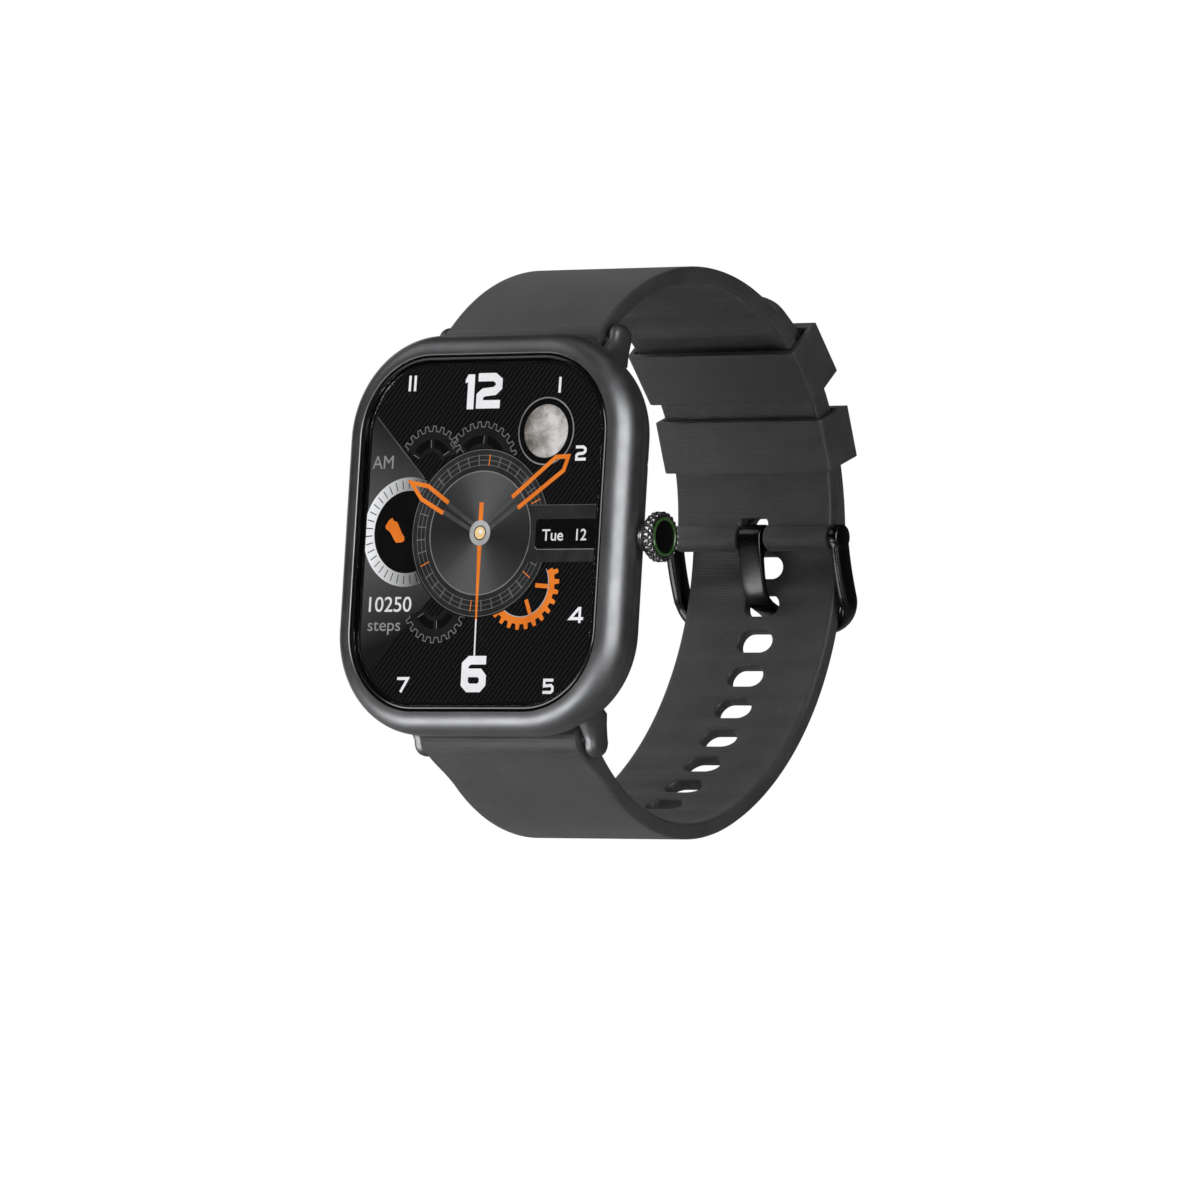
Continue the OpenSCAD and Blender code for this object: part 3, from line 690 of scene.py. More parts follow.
# Long half: its length is nought where its rear arc starts, negative towards the lower lug
LOW_MID = LOW_R + LONG_IN + BAND_T / 2
BOTTOM_MID = BOTTOM_R + LONG_IN + BAND_T / 2
TOP_MID2 = TOP_R + LONG_IN + BAND_T / 2
s_bottom = -math.radians(LOW_A - BOTTOM_A) * LOW_MID
s_straight = s_bottom - math.radians(BOTTOM_A - LUG_A) * BOTTOM_MID
s_lug = s_straight - LUG_STRAIGHT
s_top = math.radians(THIN_A - LOW_A) * TOP_MID2
s_tip = math.radians(TIP_A - LOW_A) * TOP_MID2
lug_point = polar(BOTTOM_C, BOTTOM_R, LUG_A)
lug_dir = polar((0, 0), 1.0, LUG_A + 90)
lug_normal = polar((0, 0), 1.0, LUG_A)
long_chain = [
    (s_lug, (lug_point[0] - LUG_STRAIGHT * lug_dir[0],
             lug_point[1] - LUG_STRAIGHT * lug_dir[1]), None,
     lug_dir, lug_normal),
    (s_straight, BOTTOM_C, BOTTOM_R, float(LUG_A), BOTTOM_MID),
    (s_bottom, LOW_C, LOW_R, float(BOTTOM_A), LOW_MID),
    (0.0, TOP_C, TOP_R, float(LOW_A), TOP_MID2),
]


def long_place(s, d):
    """The tail thins towards its tip, and the other end thickens into its barrel."""
    root = min(1.0, max(0.0, 1.0 - (s - s_lug) / 7.0))
    d *= 0.993 + 0.72 * root * root * (3 - 2 * root)
    if s > s_top:
        d *= 1 - 0.26 * (s - s_top) / (s_tip - s_top)
    return chain(long_chain, s, LONG_IN + d)


def long_relief(x, s):
    """Shallow hollows between the holes on the inner face."""
    u = ((s - TONGUE_HOLE) / HOLE_PITCH + 0.5) % 1.0
    edge = min(1.0, max(0.0, (9.9 - abs(x)) / 1.0))
    reach = min(1.0, max(0.0, (s + 62.0) / 4.0))
    return 0.4 * 4 * u * (1 - u) * edge * reach


def long_half(s):
    return 11.0 - 0.85 * (s - s_lug) / (s_tip - s_lug)


def tip_inset(s):
    """Rounds the two corners of the tip."""
    r, k = 3.0, s - (s_tip - 3.0)
    return r - math.sqrt(max(0.0, r * r - k * k)) if k > 0 else 0.0


edge_s = [s_lug] + [s_tip - 3.0 + 3.0 * math.sin(math.radians(a))
                                         for a in (0, 15, 30, 45, 60, 75, 90)]
outline = ([(long_half(s) - tip_inset(s), s) for s in edge_s]
           + [(tip_inset(s) - long_half(s), s) for s in reversed(edge_s)])
loops = [outline]
for i in range(12):
    s0 = TONGUE_HOLE + (i - 7) * HOLE_PITCH
    loops.append([(1.05 + 1.35 * math.cos(math.radians(a)), s0 + 1.35 * math.sin(math.radians(a)))
                  for a in range(-90, 91, 12)]
                 + [(-1.05 - 1.35 * math.cos(math.radians(a)),
                     s0 - 1.35 * math.sin(math.radians(a))) for a in range(-90, 91, 12)])
long_band = flat_band("band_long_skin", loops, span(s_lug + 0.3, s_tip - 0.3, 190), 0.36,
                      long_place, long_relief)
long_band = boolean(long_band, [barrel(-11, 11, 1.85, LUG_Y, -LUG_Z)], "UNION", 38)
piece(long_band, "watch", "strap_rubber", STRAP, "band_long")


# ---------------------------------------------------------------- keepers
def keeper(name, angle, half_angle, node, body):
    """A flat-faced rubber loop whose channel follows the band."""
    in_r, out_r = TOP_R - 0.2, TOP_R + LONG_IN + BAND_T + 0.2
    flat_in = in_r * math.cos(math.radians(half_angle)) - 0.75
    half_len = in_r * math.sin(math.radians(half_angle)) + 0.15
    flat_out = out_r + 0.75
    rows = 12
    verts, faces = [], []
    for i in range(rows + 1):
        t = half_len * (2 * i / rows - 1)
        side = [(11.3, flat_in), (11.65, flat_in + 0.1), (11.83, flat_in + 0.3),
                (11.9, flat_in + 0.6), (11.9, flat_out)]
        for x, q in side + [(-x, q) for x, q in reversed(side)]:
            verts.append((x, q, t))
        hole = [(10.6, in_r), (10.9, in_r), (11.1, in_r), (11.2, in_r), (11.2, out_r)]
        for x, r in hole + [(-x, r) for x, r in reversed(hole)]:
            verts.append((x, math.sqrt(r * r - t * t), t))
    m = 10
    for i in range(rows):
        a, b = i * 2 * m, (i + 1) * 2 * m
        for k in range(m):
            l = (k + 1) % m
            faces.append((a + k, b + k, b + l, a + l))
            faces.append((a + m + k, a + m + l, b + m + l, b + m + k))
    for base in (0, rows * 2 * m):
        for k in range(m):
            l = (k + 1) % m
            faces.append((base + k, base + l, base + m + l, base + m + k))
    ca, sa = math.cos(math.radians(angle)), math.sin(math.radians(angle))
    turned = [(x, TOP_C[0] + q * ca - t * sa, TOP_C[1] + q * sa + t * ca)
              for x, q, t in verts]
    ob = build(name, turned, faces, [(x, t) for x, q, t in verts])
    bevel(ob, 0.22, 3, 40)
    return piece(ob, body, "strap_rubber", STRAP, node)


keeper("keeper_upper_loop", 44.8, 7.45, "keeper_upper", "upper_keeper")
keeper("keeper_lower_loop", 24.45, 6.5, "keeper_lower", "lower_keeper")

# ---------------------------------------------------------------- buckle
FAR = (48.2, -4.6)
ARM_LEN = math.hypot(FAR[0] - BAR[0], FAR[1] - BAR[1])
ARM_DIR = ((FAR[0] - BAR[0]) / ARM_LEN, (FAR[1] - BAR[1]) / ARM_LEN)
ARM_OUT = (-ARM_DIR[1], ARM_DIR[0])


def frame_point(x, u, n):
    """A point of the buckle: across, along the arms and outward."""
    return (x, BAR[0] + ARM_DIR[0] * u + ARM_OUT[0] * n, BAR[1] + ARM_DIR[1] * u + ARM_OUT[1] * n)


def frame_path():
    """Stations of (x, u, tangent x, tangent u, in-plane half, outward half, lift)."""
    arm_x, corner = 11.85, 3.4
    side = []
    for u in span(0.2, ARM_LEN - corner, 10):
        k = u / ARM_LEN
        bow = math.sin(math.pi * min(1.0, k * 1.25))
        side.append((arm_x, u, 0.0, 1.0, 0.65, 1.42 - 0.1 * k, -0.25 * bow))
    for a in range(10, 91, 10):
        t = math.radians(a)
        k = a / 90
        side.append((arm_x - corner + corner * math.cos(t), ARM_LEN - corner + corner * math.sin(t),
                     -math.sin(t), math.cos(t), 0.65 + 0.1 * k, 1.3 - 0.5 * k, 0.0))
    other = [(-x, u, tx, -tu, a, b, n) for x, u, tx, tu, a, b, n in reversed(side)]
    return side + other


def buckle_frame():
    verts, faces = [], []
    path = frame_path()
    m = 24
    for x, u, tx, tu, ha, hb, lift in path:
        for k in range(m):
            t = 2 * math.pi * k / m
            ca, sa = math.cos(t), math.sin(t)
            ea = math.copysign(abs(ca) ** 0.55, ca) * ha
            eb = math.copysign(abs(sa) ** 0.7, sa) * hb
            verts.append(frame_point(x + ea * tu, u - ea * tx, lift + eb))
    n = len(path)
    for i in range(n - 1):
        for k in range(m):
            l = (k + 1) % m
            faces.append((i * m + k, i * m + l, (i + 1) * m + l, (i + 1) * m + k))
    faces.append(tuple(range(m)))
    faces.append(tuple((n - 1) * m + k for k in range(m - 1, -1, -1)))
    ob = build("buckle_loop", verts, faces)
    eyes = [lathe("eye", [(x0, 0.0), (x0, 1.3), (x0 + 0.06, 1.42), (x0 + 0.18, 1.5),
                          (x0 + 1.12, 1.5), (x0 + 1.24, 1.42), (x0 + 1.3, 1.3),
                          (x0 + 1.3, 0.0)], *BAR, 64) for x0 in (-12.5, 11.2)]
    return boolean(ob, eyes, "UNION", 40)


piece(buckle_frame(), "buckle", "black_metal", BLACK_METAL, "buckle_frame")

tongue_outline = (
    arc(BAR, 1.55, 172, -72, 8)
    + [(44.15, 3.7), (44.1, 3.0), (44.45, 1.4), (44.75, 0.3), (45.1, -0.55), (45.65, -1.25),
       (46.4, -1.7), (47.8, -2.15), (49.2, -2.75), (49.75, -3.1), (49.85, -3.45), (49.5, -3.75),
       (48.4, -3.25), (47.5, -2.9), (46.1, -2.5), (45.2, -2.05), (44.5, -1.2), (43.95, 0.2),
       (43.3, 2.4), (42.95, 3.7), (42.75, 4.7)]
)
tongue = prism("buckle_prong", tongue_outline, -1.55, 1.55)
bevel(tongue, 0.22, 3, 40)
piece(tongue, "tongue", "black_metal", BLACK_METAL, "buckle_tongue")

# ---------------------------------------------------------------- screen
BASE = 10.05


class Layer:
    """Collects flat shapes of one screen material, each at its own height in microns."""

    def __init__(self):
        self.verts, self.faces = [], []

    def shape(self, points, height):
        k = len(self.verts)
        self.verts += [(x, -(BASE + height * MM), z) for x, z in points]
        self.faces.append(tuple(range(k, k + len(points))))

    def strip(self, left, right, height, closed=False):
        k, n = len(self.verts), len(left)
        for a, b in zip(left, right):
            self.verts += [(a[0], -(BASE + height * MM), a[1]), (b[0], -(BASE + height * MM), b[1])]
        for i in range(n if closed else n - 1):
            j = (i + 1) % n
            self.faces.append((k + 2 * i, k + 2 * i + 1, k + 2 * j + 1, k + 2 * j))

    def ribbon(self, points, width, height, closed=False):
        """A line of even width with mitred corners."""
        left, right, n = [], [], len(points)
        for i, p in enumerate(points):
            a = points[i - 1] if i or closed else None
            b = points[(i + 1) % n] if i < n - 1 or closed else None
            d1 = Vector((p[0] - a[0], p[1] - a[1])).normalized() if a else None
            d2 = Vector((b[0] - p[0], b[1] - p[1])).normalized() if b else None
            d = ((d1 or d2) + (d2 or d1)).normalized()
            k = width / 2 / max(0.35, d.dot(d1 or d2))
            left.append((p[0] - d.y * k, p[1] + d.x * k))
            right.append((p[0] + d.y * k, p[1] - d.x * k))
        self.strip(left, right, height, closed)

    def sector(self, c, r0, r1, height, a0=0.0, a1=360.0, step=4.0):
        full = abs(a1 - a0) >= 360
        pts = arc(c, r1, a0, a1, step)
        if r0 <= 0:
            self.shape((pts[:-1] if full else pts + [c]), height)
            return
        inner = arc(c, r0, a0, a1, step)
        if full:
            pts, inner = pts[:-1], inner[:-1]
        self.strip(pts, inner, height, full)

    def tick(self, c, r0, r1, angle, width, height):
        self.ribbon([polar(c, r0, angle), polar(c, r1, angle)], width, height)

    def gear(self, c, root, tip, teeth, height, a0, a1, inner):
        """A toothed ring between two angles."""
        outer, ring = [], []
        step = 360.0 / teeth
        n = int(round((a1 - a0) / step))
        for i in range(n):
            a = a0 + i * step
            for r, f in ((root, 0.0), (root, 0.22), (tip, 0.32), (tip, 0.68), (root, 0.78)):
                outer.append(polar(c, r, a + f * step))
                ring.append(polar(c, inner, a + f * step))
        outer.append(polar(c, root, a0 + n * step))
        ring.append(polar(c, inner, a0 + n * step))
        self.strip(outer, ring, height)
        return outer

    def object(self, name, material):
        ob = build(name, self.verts, self.faces)
        return piece(ob, "watch", "display", material)


def inside(x, z, margin=0.0):
    """Whether a point is on the visible screen."""
    w, h, r = 16.2 - margin, 19.3 - margin, 8.0 - margin
    dx, dz = max(0.0, abs(x) - (w - r)), max(0.0, abs(z) - (h - r))
    return math.hypot(dx, dz) <= r


def clip_polygon(points, margin=0.05):
    """Pulls points that leave the screen back to its edge, towards a point inside it."""
    out = []
    for x, z in points:
        k = 1.0
        while not inside(x * k, z * k, margin) and k > 0.3:
            k -= 0.002
        out.append((x * k, z * k))
    return out


PIVOT = (0.0, 0.0)
white, grey, dim, orange, black = Layer(), Layer(), Layer(), Layer(), Layer()
track_lines, ticks, hub = Layer(), Layer(), Layer()
panel, metal_disc, track, dial_ring, gears = Layer(), Layer(), Layer(), Layer(), Layer()

# Backing panel of the screen and the black border printed under the glass
panel_body = around("display_module", 32.4, 38.6, 8.0,
                    [(0.0, 8.7), (0.0, BASE - 0.1), (-0.1, BASE)], closed=False, angle=30)


def panel_material():
    """Black field with fine slanting stripes."""
    m = screen_material("screen_field", (0.02, 0.02, 0.022))
    sep = m.node("SeparateXYZ", {"Vector": m.place()})
    slant = m.math("SUBTRACT", m.math("MULTIPLY", sep.outputs[0], 1.2), sep.outputs[2])
    wave = m.math("SINE", m.math("MULTIPLY", slant, 2 * math.pi / 0.78))
    field = m.math("MULTIPLY_ADD", wave, 0.5, 0.5)
    return lit_pattern(m, field, [(0.35, tone(0.0006)), (0.9, (0.011, 0.011, 0.012))])


piece(panel_body, "watch", "display", panel_material(), "display_panel")
mask = around("glass_border", 32.4, 38.6, 8.0,
              [(-0.05, 10.17), (1.12, 10.17), (1.12, 10.19), (-0.05, 10.19)])
piece(mask, "watch", "display", BORDER)

# Side wedge with the hour half and the step counter
panel.shape([(-2.0, 0.0), (-15.75, 13.65)] + [polar((-8.2, 11.3), 7.95, a) for a in span(165, 180, 3)]
            + [polar((-8.2, -11.3), 7.95, a) for a in span(180, 214.5, 6)]
            + [(-6.4, -7.35), (-3.1, -3.95)], 4)
dim.ribbon([(-15.6, 13.5), (-8.4, 6.36)], 0.16, 6)

sub_c = (-10.3, 0.2)
dial_ring.sector(sub_c, 4.75, 6.3, 10, 68, 292, 3)
black.sector(sub_c, 0, 4.75, 12, 0, 360, 5)
for i in range(24):
    a = 73 + 9.3 * i
    black.tick(sub_c, 5.0, 6.0, a, 0.12, 14)
orange.shape([(-13.5, 0.9), (-13.1, 1.55), (-12.6, 1.85), (-12.35, 1.5), (-11.85, 1.35),
              (-11.5, 0.75), (-11.1, 0.05), (-10.75, -0.35), (-10.7, -0.8), (-11.1, -1.0),
              (-11.9, -1.02), (-12.3, -0.5), (-12.8, 0.2), (-13.45, 0.6)], 16)

# Gears behind the dial
for c, root, tip, a0, a1, teeth in (((-7.5, 7.9), 3.85, 4.45, 20, 160, 24),
                                    ((-0.5, 7.6), 4.55, 5.15, 12, 150, 28),
                                    ((-5.7, -8.1), 3.85, 4.45, 200, 345, 24)):
    edge = gears.gear(c, root, tip, teeth, 20, a0, a1, root - 0.95)
    grey.ribbon(edge, 0.09, 24)
    gears.sector(c, root - 2.4, root - 1.9, 20, a0, a1)
    black.sector(c, root - 1.9, root - 0.95, 18, a0, a1)
    for a in span(a0 + 8, a1 - 8, 2):
        gears.tick(c, root - 2.2, root - 0.8, a, 0.45, 22)
        grey.ribbon([polar(c, root - 1.9, a + 5), polar(c, root - 1.0, a + 4)], 0.08, 24)
og = (6.3, -5.9)
orange.gear(og, 4.55, 5.2, 26, 28, -142, 28, 3.75)
for a in (-68, -4):
    orange.tick(og, 1.9, 3.9, a, 0.5, 29)
    black.tick(og, 1.9, 3.7, a - 9, 0.3, 28)
hub.sector(og, 3.66, 3.77, 30, -142, 28, 4)

# Track ring and brushed disc
track.sector(PIVOT, 7.05, 9.6, 34, 0, 360, 3)
black.sector(PIVOT, 9.6, 9.75, 33, 0, 360, 3)
for r in (7.75, 8.3, 8.85):
    track_lines.sector(PIVOT, r, r + 0.07, 36, 0, 360, 3)
track_lines.sector(PIVOT, 9.5, 9.58, 36, 0, 360, 3)
for i in range(36):
    a = 10 * i + 5
    layer = orange if i % 6 == 2 else ticks
    layer.tick(PIVOT, 7.7, 9.0, a, 0.12, 38)
metal_disc.sector(PIVOT, 0, 7.05, 40, 0, 360, 3)
grey.sector(PIVOT, 7.0, 7.14, 42, 0, 360, 3)

# Date panel
panel_date = Layer()
panel_date.shape(clip_polygon([(6.6, 3.1), (16.1, 3.1), (16.1, -3.4), (6.3, -3.4),
                               (6.9, -1.9), (7.1, 0.0), (6.95, 1.7)]), 50)
black.shape([(8.1, 1.5), (16.12, 1.5), (16.12, -1.9), (8.1, -1.9), (7.8, -1.6), (7.8, 1.2)], 52)
dim.ribbon([(16.1, 3.1), (6.7, 3.1)], 0.1, 54)
grey.ribbon([(16.1, -1.95), (8.1, -1.95), (7.78, -1.62)], 0.1, 54)

# Moon disc
moon_c = (8.45, 11.55)
black.sector(moon_c, 0, 3.95, 55, 0, 360, 4)
rim = Layer()
rim.sector(moon_c, 3.74, 3.9, 57, 0, 360, 4)
moon = Layer()
moon.sector(moon_c, 0, 3.05, 60, 0, 360, 4)

# Hands
dark_hand = Layer()
for angle, stem_end, tip, wide, wide_at in ((150.0, 6.0, 11.7, 0.85, 9.4),
                                            (36.2, 6.0, 14.6, 0.95, 13.2)):
    ca, sa = math.cos(math.radians(angle)), math.sin(math.radians(angle))

    def hand(u, v, ca=ca, sa=sa):
        return (u * ca - v * sa, u * sa + v * ca)

    dark_hand.strip([hand(1.2, 0.56), hand(stem_end, 0.8)], [hand(1.2, 0.12), hand(stem_end, 0.26)], 66)
    dark_hand.strip([hand(1.2, -0.56), hand(stem_end, -0.8)],
                    [hand(1.2, -0.12), hand(stem_end, -0.26)], 66)
    orange.ribbon([hand(stem_end - 0.2, wide * 0.8), hand(wide_at, wide), hand(tip, 0.0),
                   hand(wide_at, -wide), hand(stem_end - 0.2, -wide * 0.8)], 0.5, 70)
second = 271.0
orange.strip([polar(PIVOT, 0.32, 180), polar(PIVOT, 10.0, second - 0.7)],
             [polar(PIVOT, 0.32, 0), polar(PIVOT, 10.0, second + 0.7)], 76)
orange.shape([(-0.3, 0.0), (0.3, 0.0), (0.3, 3.5), (-0.3, 3.5)], 76)
white.tick(PIVOT, 9.9, 14.2, second, 0.2, 78)
hub.sector(PIVOT, 0.85, 1.45, 80, 0, 360, 6)
black.sector(PIVOT, 0, 0.86, 79, 0, 360, 6)
brass = Layer()
brass.sector(PIVOT, 0, 0.72, 84, 0, 360, 6)
white.sector((0.08, 0.14), 0, 0.26, 86, 0, 360, 12)


def numeral(shapes, x, z, w, h, height, layer, line):
    """Draws strokes given in a unit box at a place and size."""
    for pts in shapes:
        layer.ribbon([(x + px * w, z + pz * h) for px, pz in pts], line, height)


TWO = [[(0.0, 0.92), (0.72, 0.92), (0.92, 0.8), (0.92, 0.62), (0.75, 0.5), (0.25, 0.46),
        (0.1, 0.36), (0.1, 0.1), (1.0, 0.1)]]
SIX = [[(1.0, 0.91), (0.3, 0.91), (0.12, 0.78), (0.12, 0.22), (0.28, 0.1), (0.74, 0.1),
        (0.88, 0.22), (0.88, 0.42), (0.74, 0.54), (0.12, 0.54)]]
FOUR = [[(0.72, 0.0), (0.72, 1.0), (0.62, 1.0), (0.0, 0.3), (1.0, 0.3)]]
FIVE = [[(0.95, 0.92), (0.12, 0.92), (0.12, 0.52), (0.75, 0.56), (0.9, 0.44), (0.9, 0.2),
         (0.75, 0.08), (0.0, 0.08)]]
SEVEN = [[(0.0, 0.92), (0.95, 0.92), (0.35, 0.0)]]
numeral(TWO, -1.5, 14.35, 3.2, 3.8, 62, white, 0.95)
white.shape([(-2.0, 14.2), (-2.0, 18.2), (-2.95, 18.2), (-3.3, 17.6), (-3.3, 17.2), (-2.95, 17.3),
             (-2.95, 14.2)], 62)
numeral(SIX, -1.35, -18.1, 3.3, 3.9, 62, white, 0.98)
for x0, z0 in ((-11.2, 16.4), (-10.45, 16.4), (10.0, 15.9)):
    white.ribbon([(x0, z0), (x0 + 0.02, z0 + 1.8)], 0.34, 62)
numeral(TWO, 12.75, 8.1, 1.45, 1.7, 62, white, 0.34)
numeral(FOUR, 13.35, -10.35, 1.8, 1.65, 62, white, 0.34)
numeral(FIVE, 10.1, -18.35, 1.5, 1.65, 62, white, 0.34)
numeral(SEVEN, -10.5, -18.2, 1.6, 1.7, 62, white, 0.34)


def disc_material():
    """Brushed disc: light fans from the middle."""
    m = screen_material("screen_disc", tone(0.05))
    sep = m.node("SeparateXYZ", {"Vector": m.place()})
    angle = m.math("ARCTAN2", sep.outputs[2], sep.outputs[0])
    fan = m.math("SINE", m.math("MULTIPLY_ADD", angle, 2.0, -1.2))
    fine = m.noise(30.0, 2.0, m.node("CombineXYZ", {"X": angle}).outputs[0])
    level = m.math("ADD", m.math("MULTIPLY_ADD", fan, 0.32, 0.4), m.math("MULTIPLY", fine, 0.2))
    return lit_pattern(m, level, [(0.1, tone(0.014)), (0.55, tone(0.05)), (0.95, tone(0.13))])


def moon_material():
    """Pale disc with grey seas and a darker edge."""
    m = screen_material("screen_moon", tone(0.5))
    seas = m.noise(0.32, 6.0, None, 0.6)
    sep = m.node("SeparateXYZ", {"Vector": m.place()})
    dx = m.math("SUBTRACT", sep.outputs[0], moon_c[0] + 0.8)
    dz = m.math("SUBTRACT", sep.outputs[2], moon_c[1] - 0.7)
    far = m.math("SQRT", m.math("ADD", m.math("MULTIPLY", dx, dx), m.math("MULTIPLY", dz, dz)))
    level = m.math("SUBTRACT", m.math("MULTIPLY", seas, 1.5), m.math("MULTIPLY", far, 0.1))
    return lit_pattern(m, level, [(0.25, (0.13, 0.115, 0.1)), (0.5, (0.38, 0.355, 0.33)),
                                  (0.72, (0.7, 0.68, 0.66))])


def wedge_material():
    """Grey panel, lighter towards its middle."""
    m = screen_material("screen_wedge", tone(0.08))
    sep = m.node("SeparateXYZ", {"Vector": m.place()})
    drop = m.math("MULTIPLY", m.math("ABSOLUTE", sep.outputs[2]), 0.07)
    side = m.math("MULTIPLY", m.math("ADD", sep.outputs[0], 10.0), 0.03)
    level = m.math("SUBTRACT", m.math("SUBTRACT", 0.95, drop), side)
    return lit_pattern(m, level, [(0.15, tone(0.008)), (0.95, tone(0.095))])


def ring_material():
    """Sub-dial ring, white at the left and grey towards the right."""
    m = screen_material("screen_ring", tone(0.6))
    sep = m.node("SeparateXYZ", {"Vector": m.place()})
    level = m.math("MULTIPLY_ADD", sep.outputs[0], -0.11, -0.8)
    return lit_pattern(m, level, [(0.15, tone(0.1)), (0.9, tone(0.92))])


def soft_screen(name, low, high):
    """A lit tone that drifts slightly over the area."""
    m = screen_material(name, high)
    return lit_pattern(m, m.noise(0.35, 2.0), [(0.3, low), (0.7, high)])


ORANGE = soft_screen("screen_orange", (0.78, 0.18, 0.016), (0.92, 0.245, 0.03))
white.object("screen_white", soft_screen("screen_white", tone(0.84), tone(0.95)))
grey.object("screen_lines", soft_screen("screen_lines", tone(0.17), tone(0.24)))
track_lines.object("screen_track_lines", soft_screen("screen_track_lines", tone(0.12), tone(0.17)))
ticks.object("screen_ticks", soft_screen("screen_ticks", tone(0.13), tone(0.17)))
dim.object("screen_dim_lines", soft_screen("screen_dim", tone(0.06), tone(0.1)))
orange.object("screen_orange", ORANGE)
black.object("screen_black", soft_screen("screen_black", tone(0.001), tone(0.002)))
panel.object("screen_wedge", wedge_material())
panel_date.object("screen_date_panel", soft_screen("screen_date", tone(0.018), tone(0.032)))
metal_disc.object("screen_disc", disc_material())
track.object("screen_track", soft_screen("screen_track", tone(0.016), tone(0.032)))
dial_ring.object("screen_counter_ring", ring_material())
gears.object("screen_gears", soft_screen("screen_gears", tone(0.008), tone(0.014)))
rim.object("screen_moon_rim", soft_screen("screen_rim", tone(0.16), tone(0.32)))
moon.object("screen_moon", moon_material())
dark_hand.object("screen_hand_stems", soft_screen("screen_stems", tone(0.055), tone(0.085)))
hub.object("screen_hub", soft_screen("screen_hub", tone(0.3), tone(0.5)))
brass.object("screen_hub_centre", soft_screen("screen_brass", (0.9, 0.55, 0.2), (1.0, 0.75, 0.4)))


def lettering(name, text, x, z, size, height, material, bold=0.0, squeeze=1.0):
    """Generic characters of the display in the built-in face, flat on the screen."""
    cu = bpy.data.curves.new(name, "FONT")
    cu.body = text
    cu.size = size * MM
    cu.offset = bold * MM
    cu.fill_mode = "FRONT"
    cu.resolution_u = 6
    tmp = bpy.data.objects.new(name, cu)
    COLLECTION.objects.link(tmp)
    dg = bpy.context.evaluated_depsgraph_get()
    me = bpy.data.meshes.new_from_object(tmp.evaluated_get(dg))
    bpy.data.objects.remove(tmp)
    low = min(v.co.x for v in me.vertices)
    for v in me.vertices:
        v.co = ((v.co.x - low) * squeeze + x * MM, -(BASE + height * MM) * MM, v.co.y + z * MM)
    ob = bpy.data.objects.new(name, me)
    COLLECTION.objects.link(ob)
    return piece(ob, "watch", "display", material)


PALE = soft_screen("screen_pale", tone(0.72), tone(0.82))
SOFT = soft_screen("screen_soft_grey", tone(0.27), tone(0.34))
lettering("screen_half_day", "AM", -15.85, 7.5, 2.2, 62, SOFT, 0.0, 0.98)
lettering("screen_count", "10250", -15.15, -8.95, 2.45, 62, PALE, 0.015, 1.08)
lettering("screen_count_unit", "steps", -15.15, -11.15, 2.0, 62, SOFT, 0.0, 1.16)
lettering("screen_day", "Tue", 8.75, -0.95, 1.85, 62, PALE, 0.02, 1.02)
lettering("screen_date_number", "12", 13.5, -0.95, 1.85, 62, PALE, 0.02, 0.98)

# ---------------------------------------------------------------- camera
AZIMUTH, ELEVATION, ROLL = 36.5, -5.5, 3.44
p, e, r = (math.radians(v) for v in (AZIMUTH, ELEVATION, ROLL))
back = Vector((math.sin(p) * math.cos(e), -math.cos(p) * math.cos(e), math.sin(e)))
right = Vector((math.cos(p), math.sin(p), 0.0))
up = back.cross(right)
cam_right = right * math.cos(r) + up * math.sin(r)
cam_up = up * math.cos(r) - right * math.sin(r)
DISTANCE = 1.2
glass_centre = Vector((0.0, -0.011, 0.0))
cam_data = bpy.data.cameras.new("camera")
cam_data.lens = 316.8
cam_data.sensor_width = 36.0
cam_data.shift_x = 0.1025
cam_data.shift_y = -0.0564
cam_data.clip_start = 0.01
cam_data.clip_end = 20.0
cam = bpy.data.objects.new("camera", cam_data)
COLLECTION.objects.link(cam)
spot = glass_centre + back * DISTANCE
turn = Matrix((cam_right, cam_up, back)).transposed()
cam.matrix_world = Matrix.Translation(spot) @ turn.to_4x4()
bpy.context.scene.camera = cam

# ---------------------------------------------------------------- stage and light
floor_z = -0.16
bm = bmesh.new()
bmesh.ops.create_circle(bm, cap_ends=True, radius=2.5, segments=96)
floor_mesh = bpy.data.meshes.new("floor")
bm.to_mesh(floor_mesh)
bm.free()
floor = bpy.data.objects.new("floor", floor_mesh)
floor.location = (0, 0, floor_z)
COLLECTION.objects.link(floor)
floor_nodes = Nodes("pale_floor", tone(0.62), 0.0, 0.7)
floor_nodes.color(floor_nodes.noise(0.004, 2.0), tone(0.6), tone(0.64))
floor.data.materials.append(floor_nodes.mat)


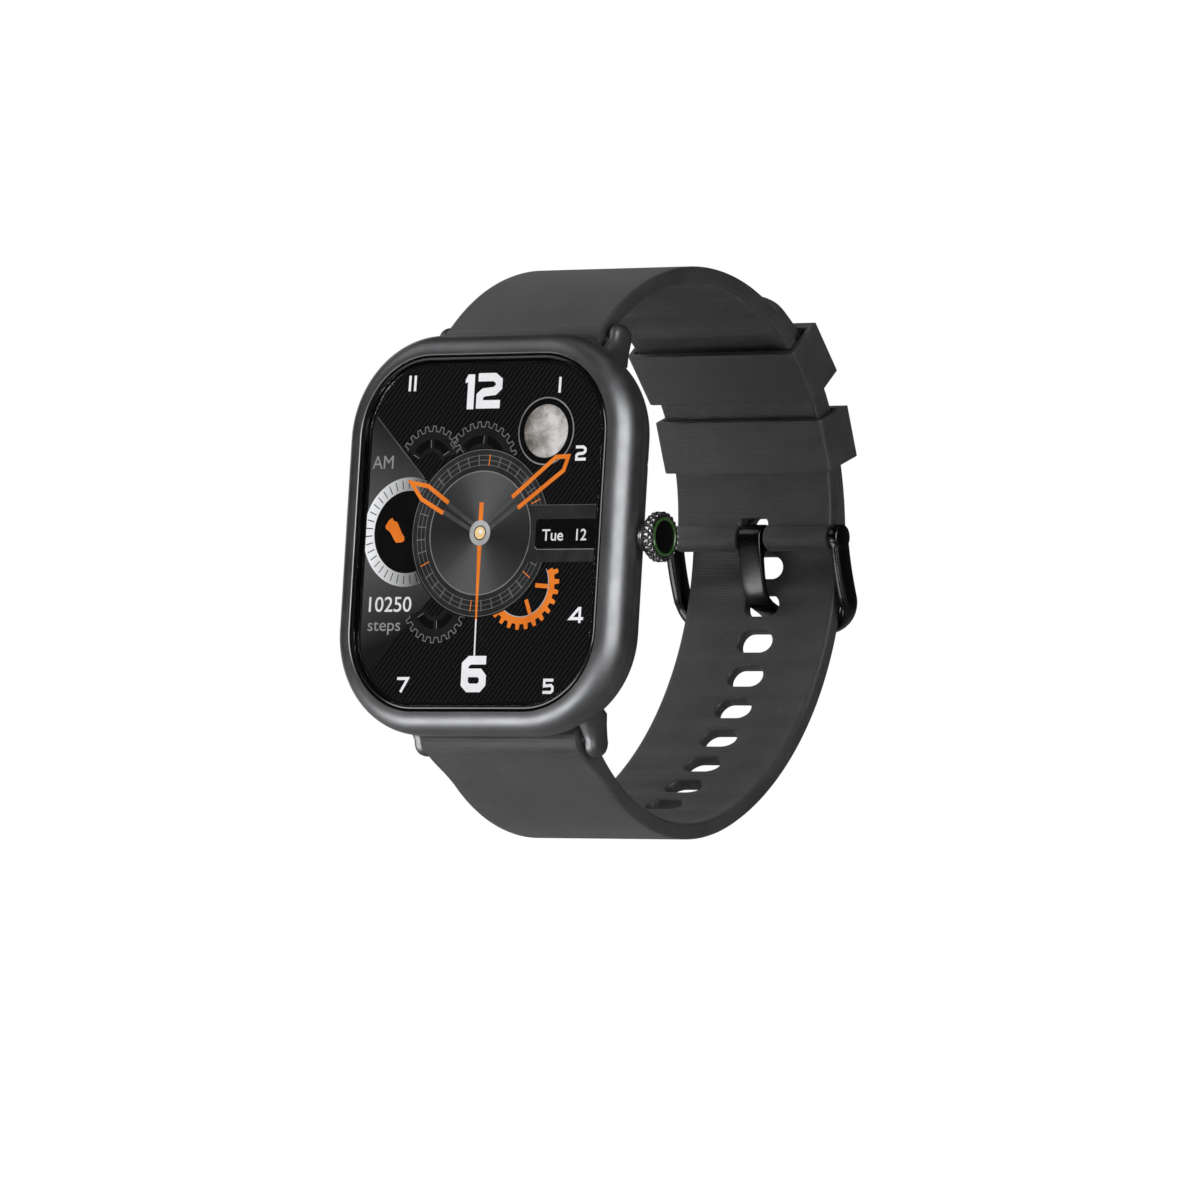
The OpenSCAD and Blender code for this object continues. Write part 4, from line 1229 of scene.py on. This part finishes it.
def softbox(name, azimuth, elevation, distance, width, height, power, glossy=True, diffuse=True):
    """A rectangular light that faces the watch."""
    light = bpy.data.lights.new(name, "AREA")
    light.shape = "RECTANGLE"
    light.size, light.size_y = width, height
    light.energy = power
    ob = bpy.data.objects.new(name, light)
    a, t = math.radians(azimuth), math.radians(elevation)
    at = Vector((math.sin(a) * math.cos(t), -math.cos(a) * math.cos(t), math.sin(t))) * distance
    ob.location = at + Vector((0, 0.015, 0))
    ob.rotation_euler = at.to_track_quat("Z", "Y").to_euler()
    ob.visible_glossy = glossy
    ob.visible_diffuse = diffuse
    ob.visible_camera = False
    COLLECTION.objects.link(ob)


softbox("key", -52, 36, 0.9, 0.6, 0.5, 1.35)
softbox("front", -8, -12, 0.9, 0.5, 0.4, 4.8, glossy=False)
softbox("top_left", -75, 42, 0.9, 0.5, 0.4, 3.2, glossy=False)
softbox("front_gloss", 58, 3, 0.9, 1.0, 0.9, 18.0, diffuse=False)
softbox("right_fill", 95, 5, 0.9, 0.6, 0.6, 1.0, glossy=False)
softbox("left_rim", -122, 8, 0.8, 0.4, 0.8, 1.0)
softbox("under_left", -80, -36, 0.9, 0.4, 0.3, 1.8, glossy=False)
softbox("overhead", 0, 78, 0.8, 0.5, 0.3, 0.3)
softbox("low_glow", -22, -38, 0.17, 0.22, 0.06, 0.27, diffuse=False)

world = bpy.data.worlds.new("studio")
bpy.context.scene.world = world
world.use_nodes = True
tree = world.node_tree
tree.nodes.clear()
out = tree.nodes.new("ShaderNodeOutputWorld")
mix = tree.nodes.new("ShaderNodeMixShader")
seen = tree.nodes.new("ShaderNodeBackground")
seen.inputs[0].default_value = (1.0, 1.0, 1.0, 1.0)
ambient = tree.nodes.new("ShaderNodeBackground")
ambient.inputs[0].default_value = (1.0, 1.0, 1.0, 1.0)
ambient.inputs[1].default_value = 0.045
path = tree.nodes.new("ShaderNodeLightPath")
tree.links.new(path.outputs["Is Camera Ray"], mix.inputs[0])
tree.links.new(ambient.outputs[0], mix.inputs[1])
tree.links.new(seen.outputs[0], mix.inputs[2])
tree.links.new(mix.outputs[0], out.inputs[0])
bpy.context.scene.view_settings.view_transform = "Standard"
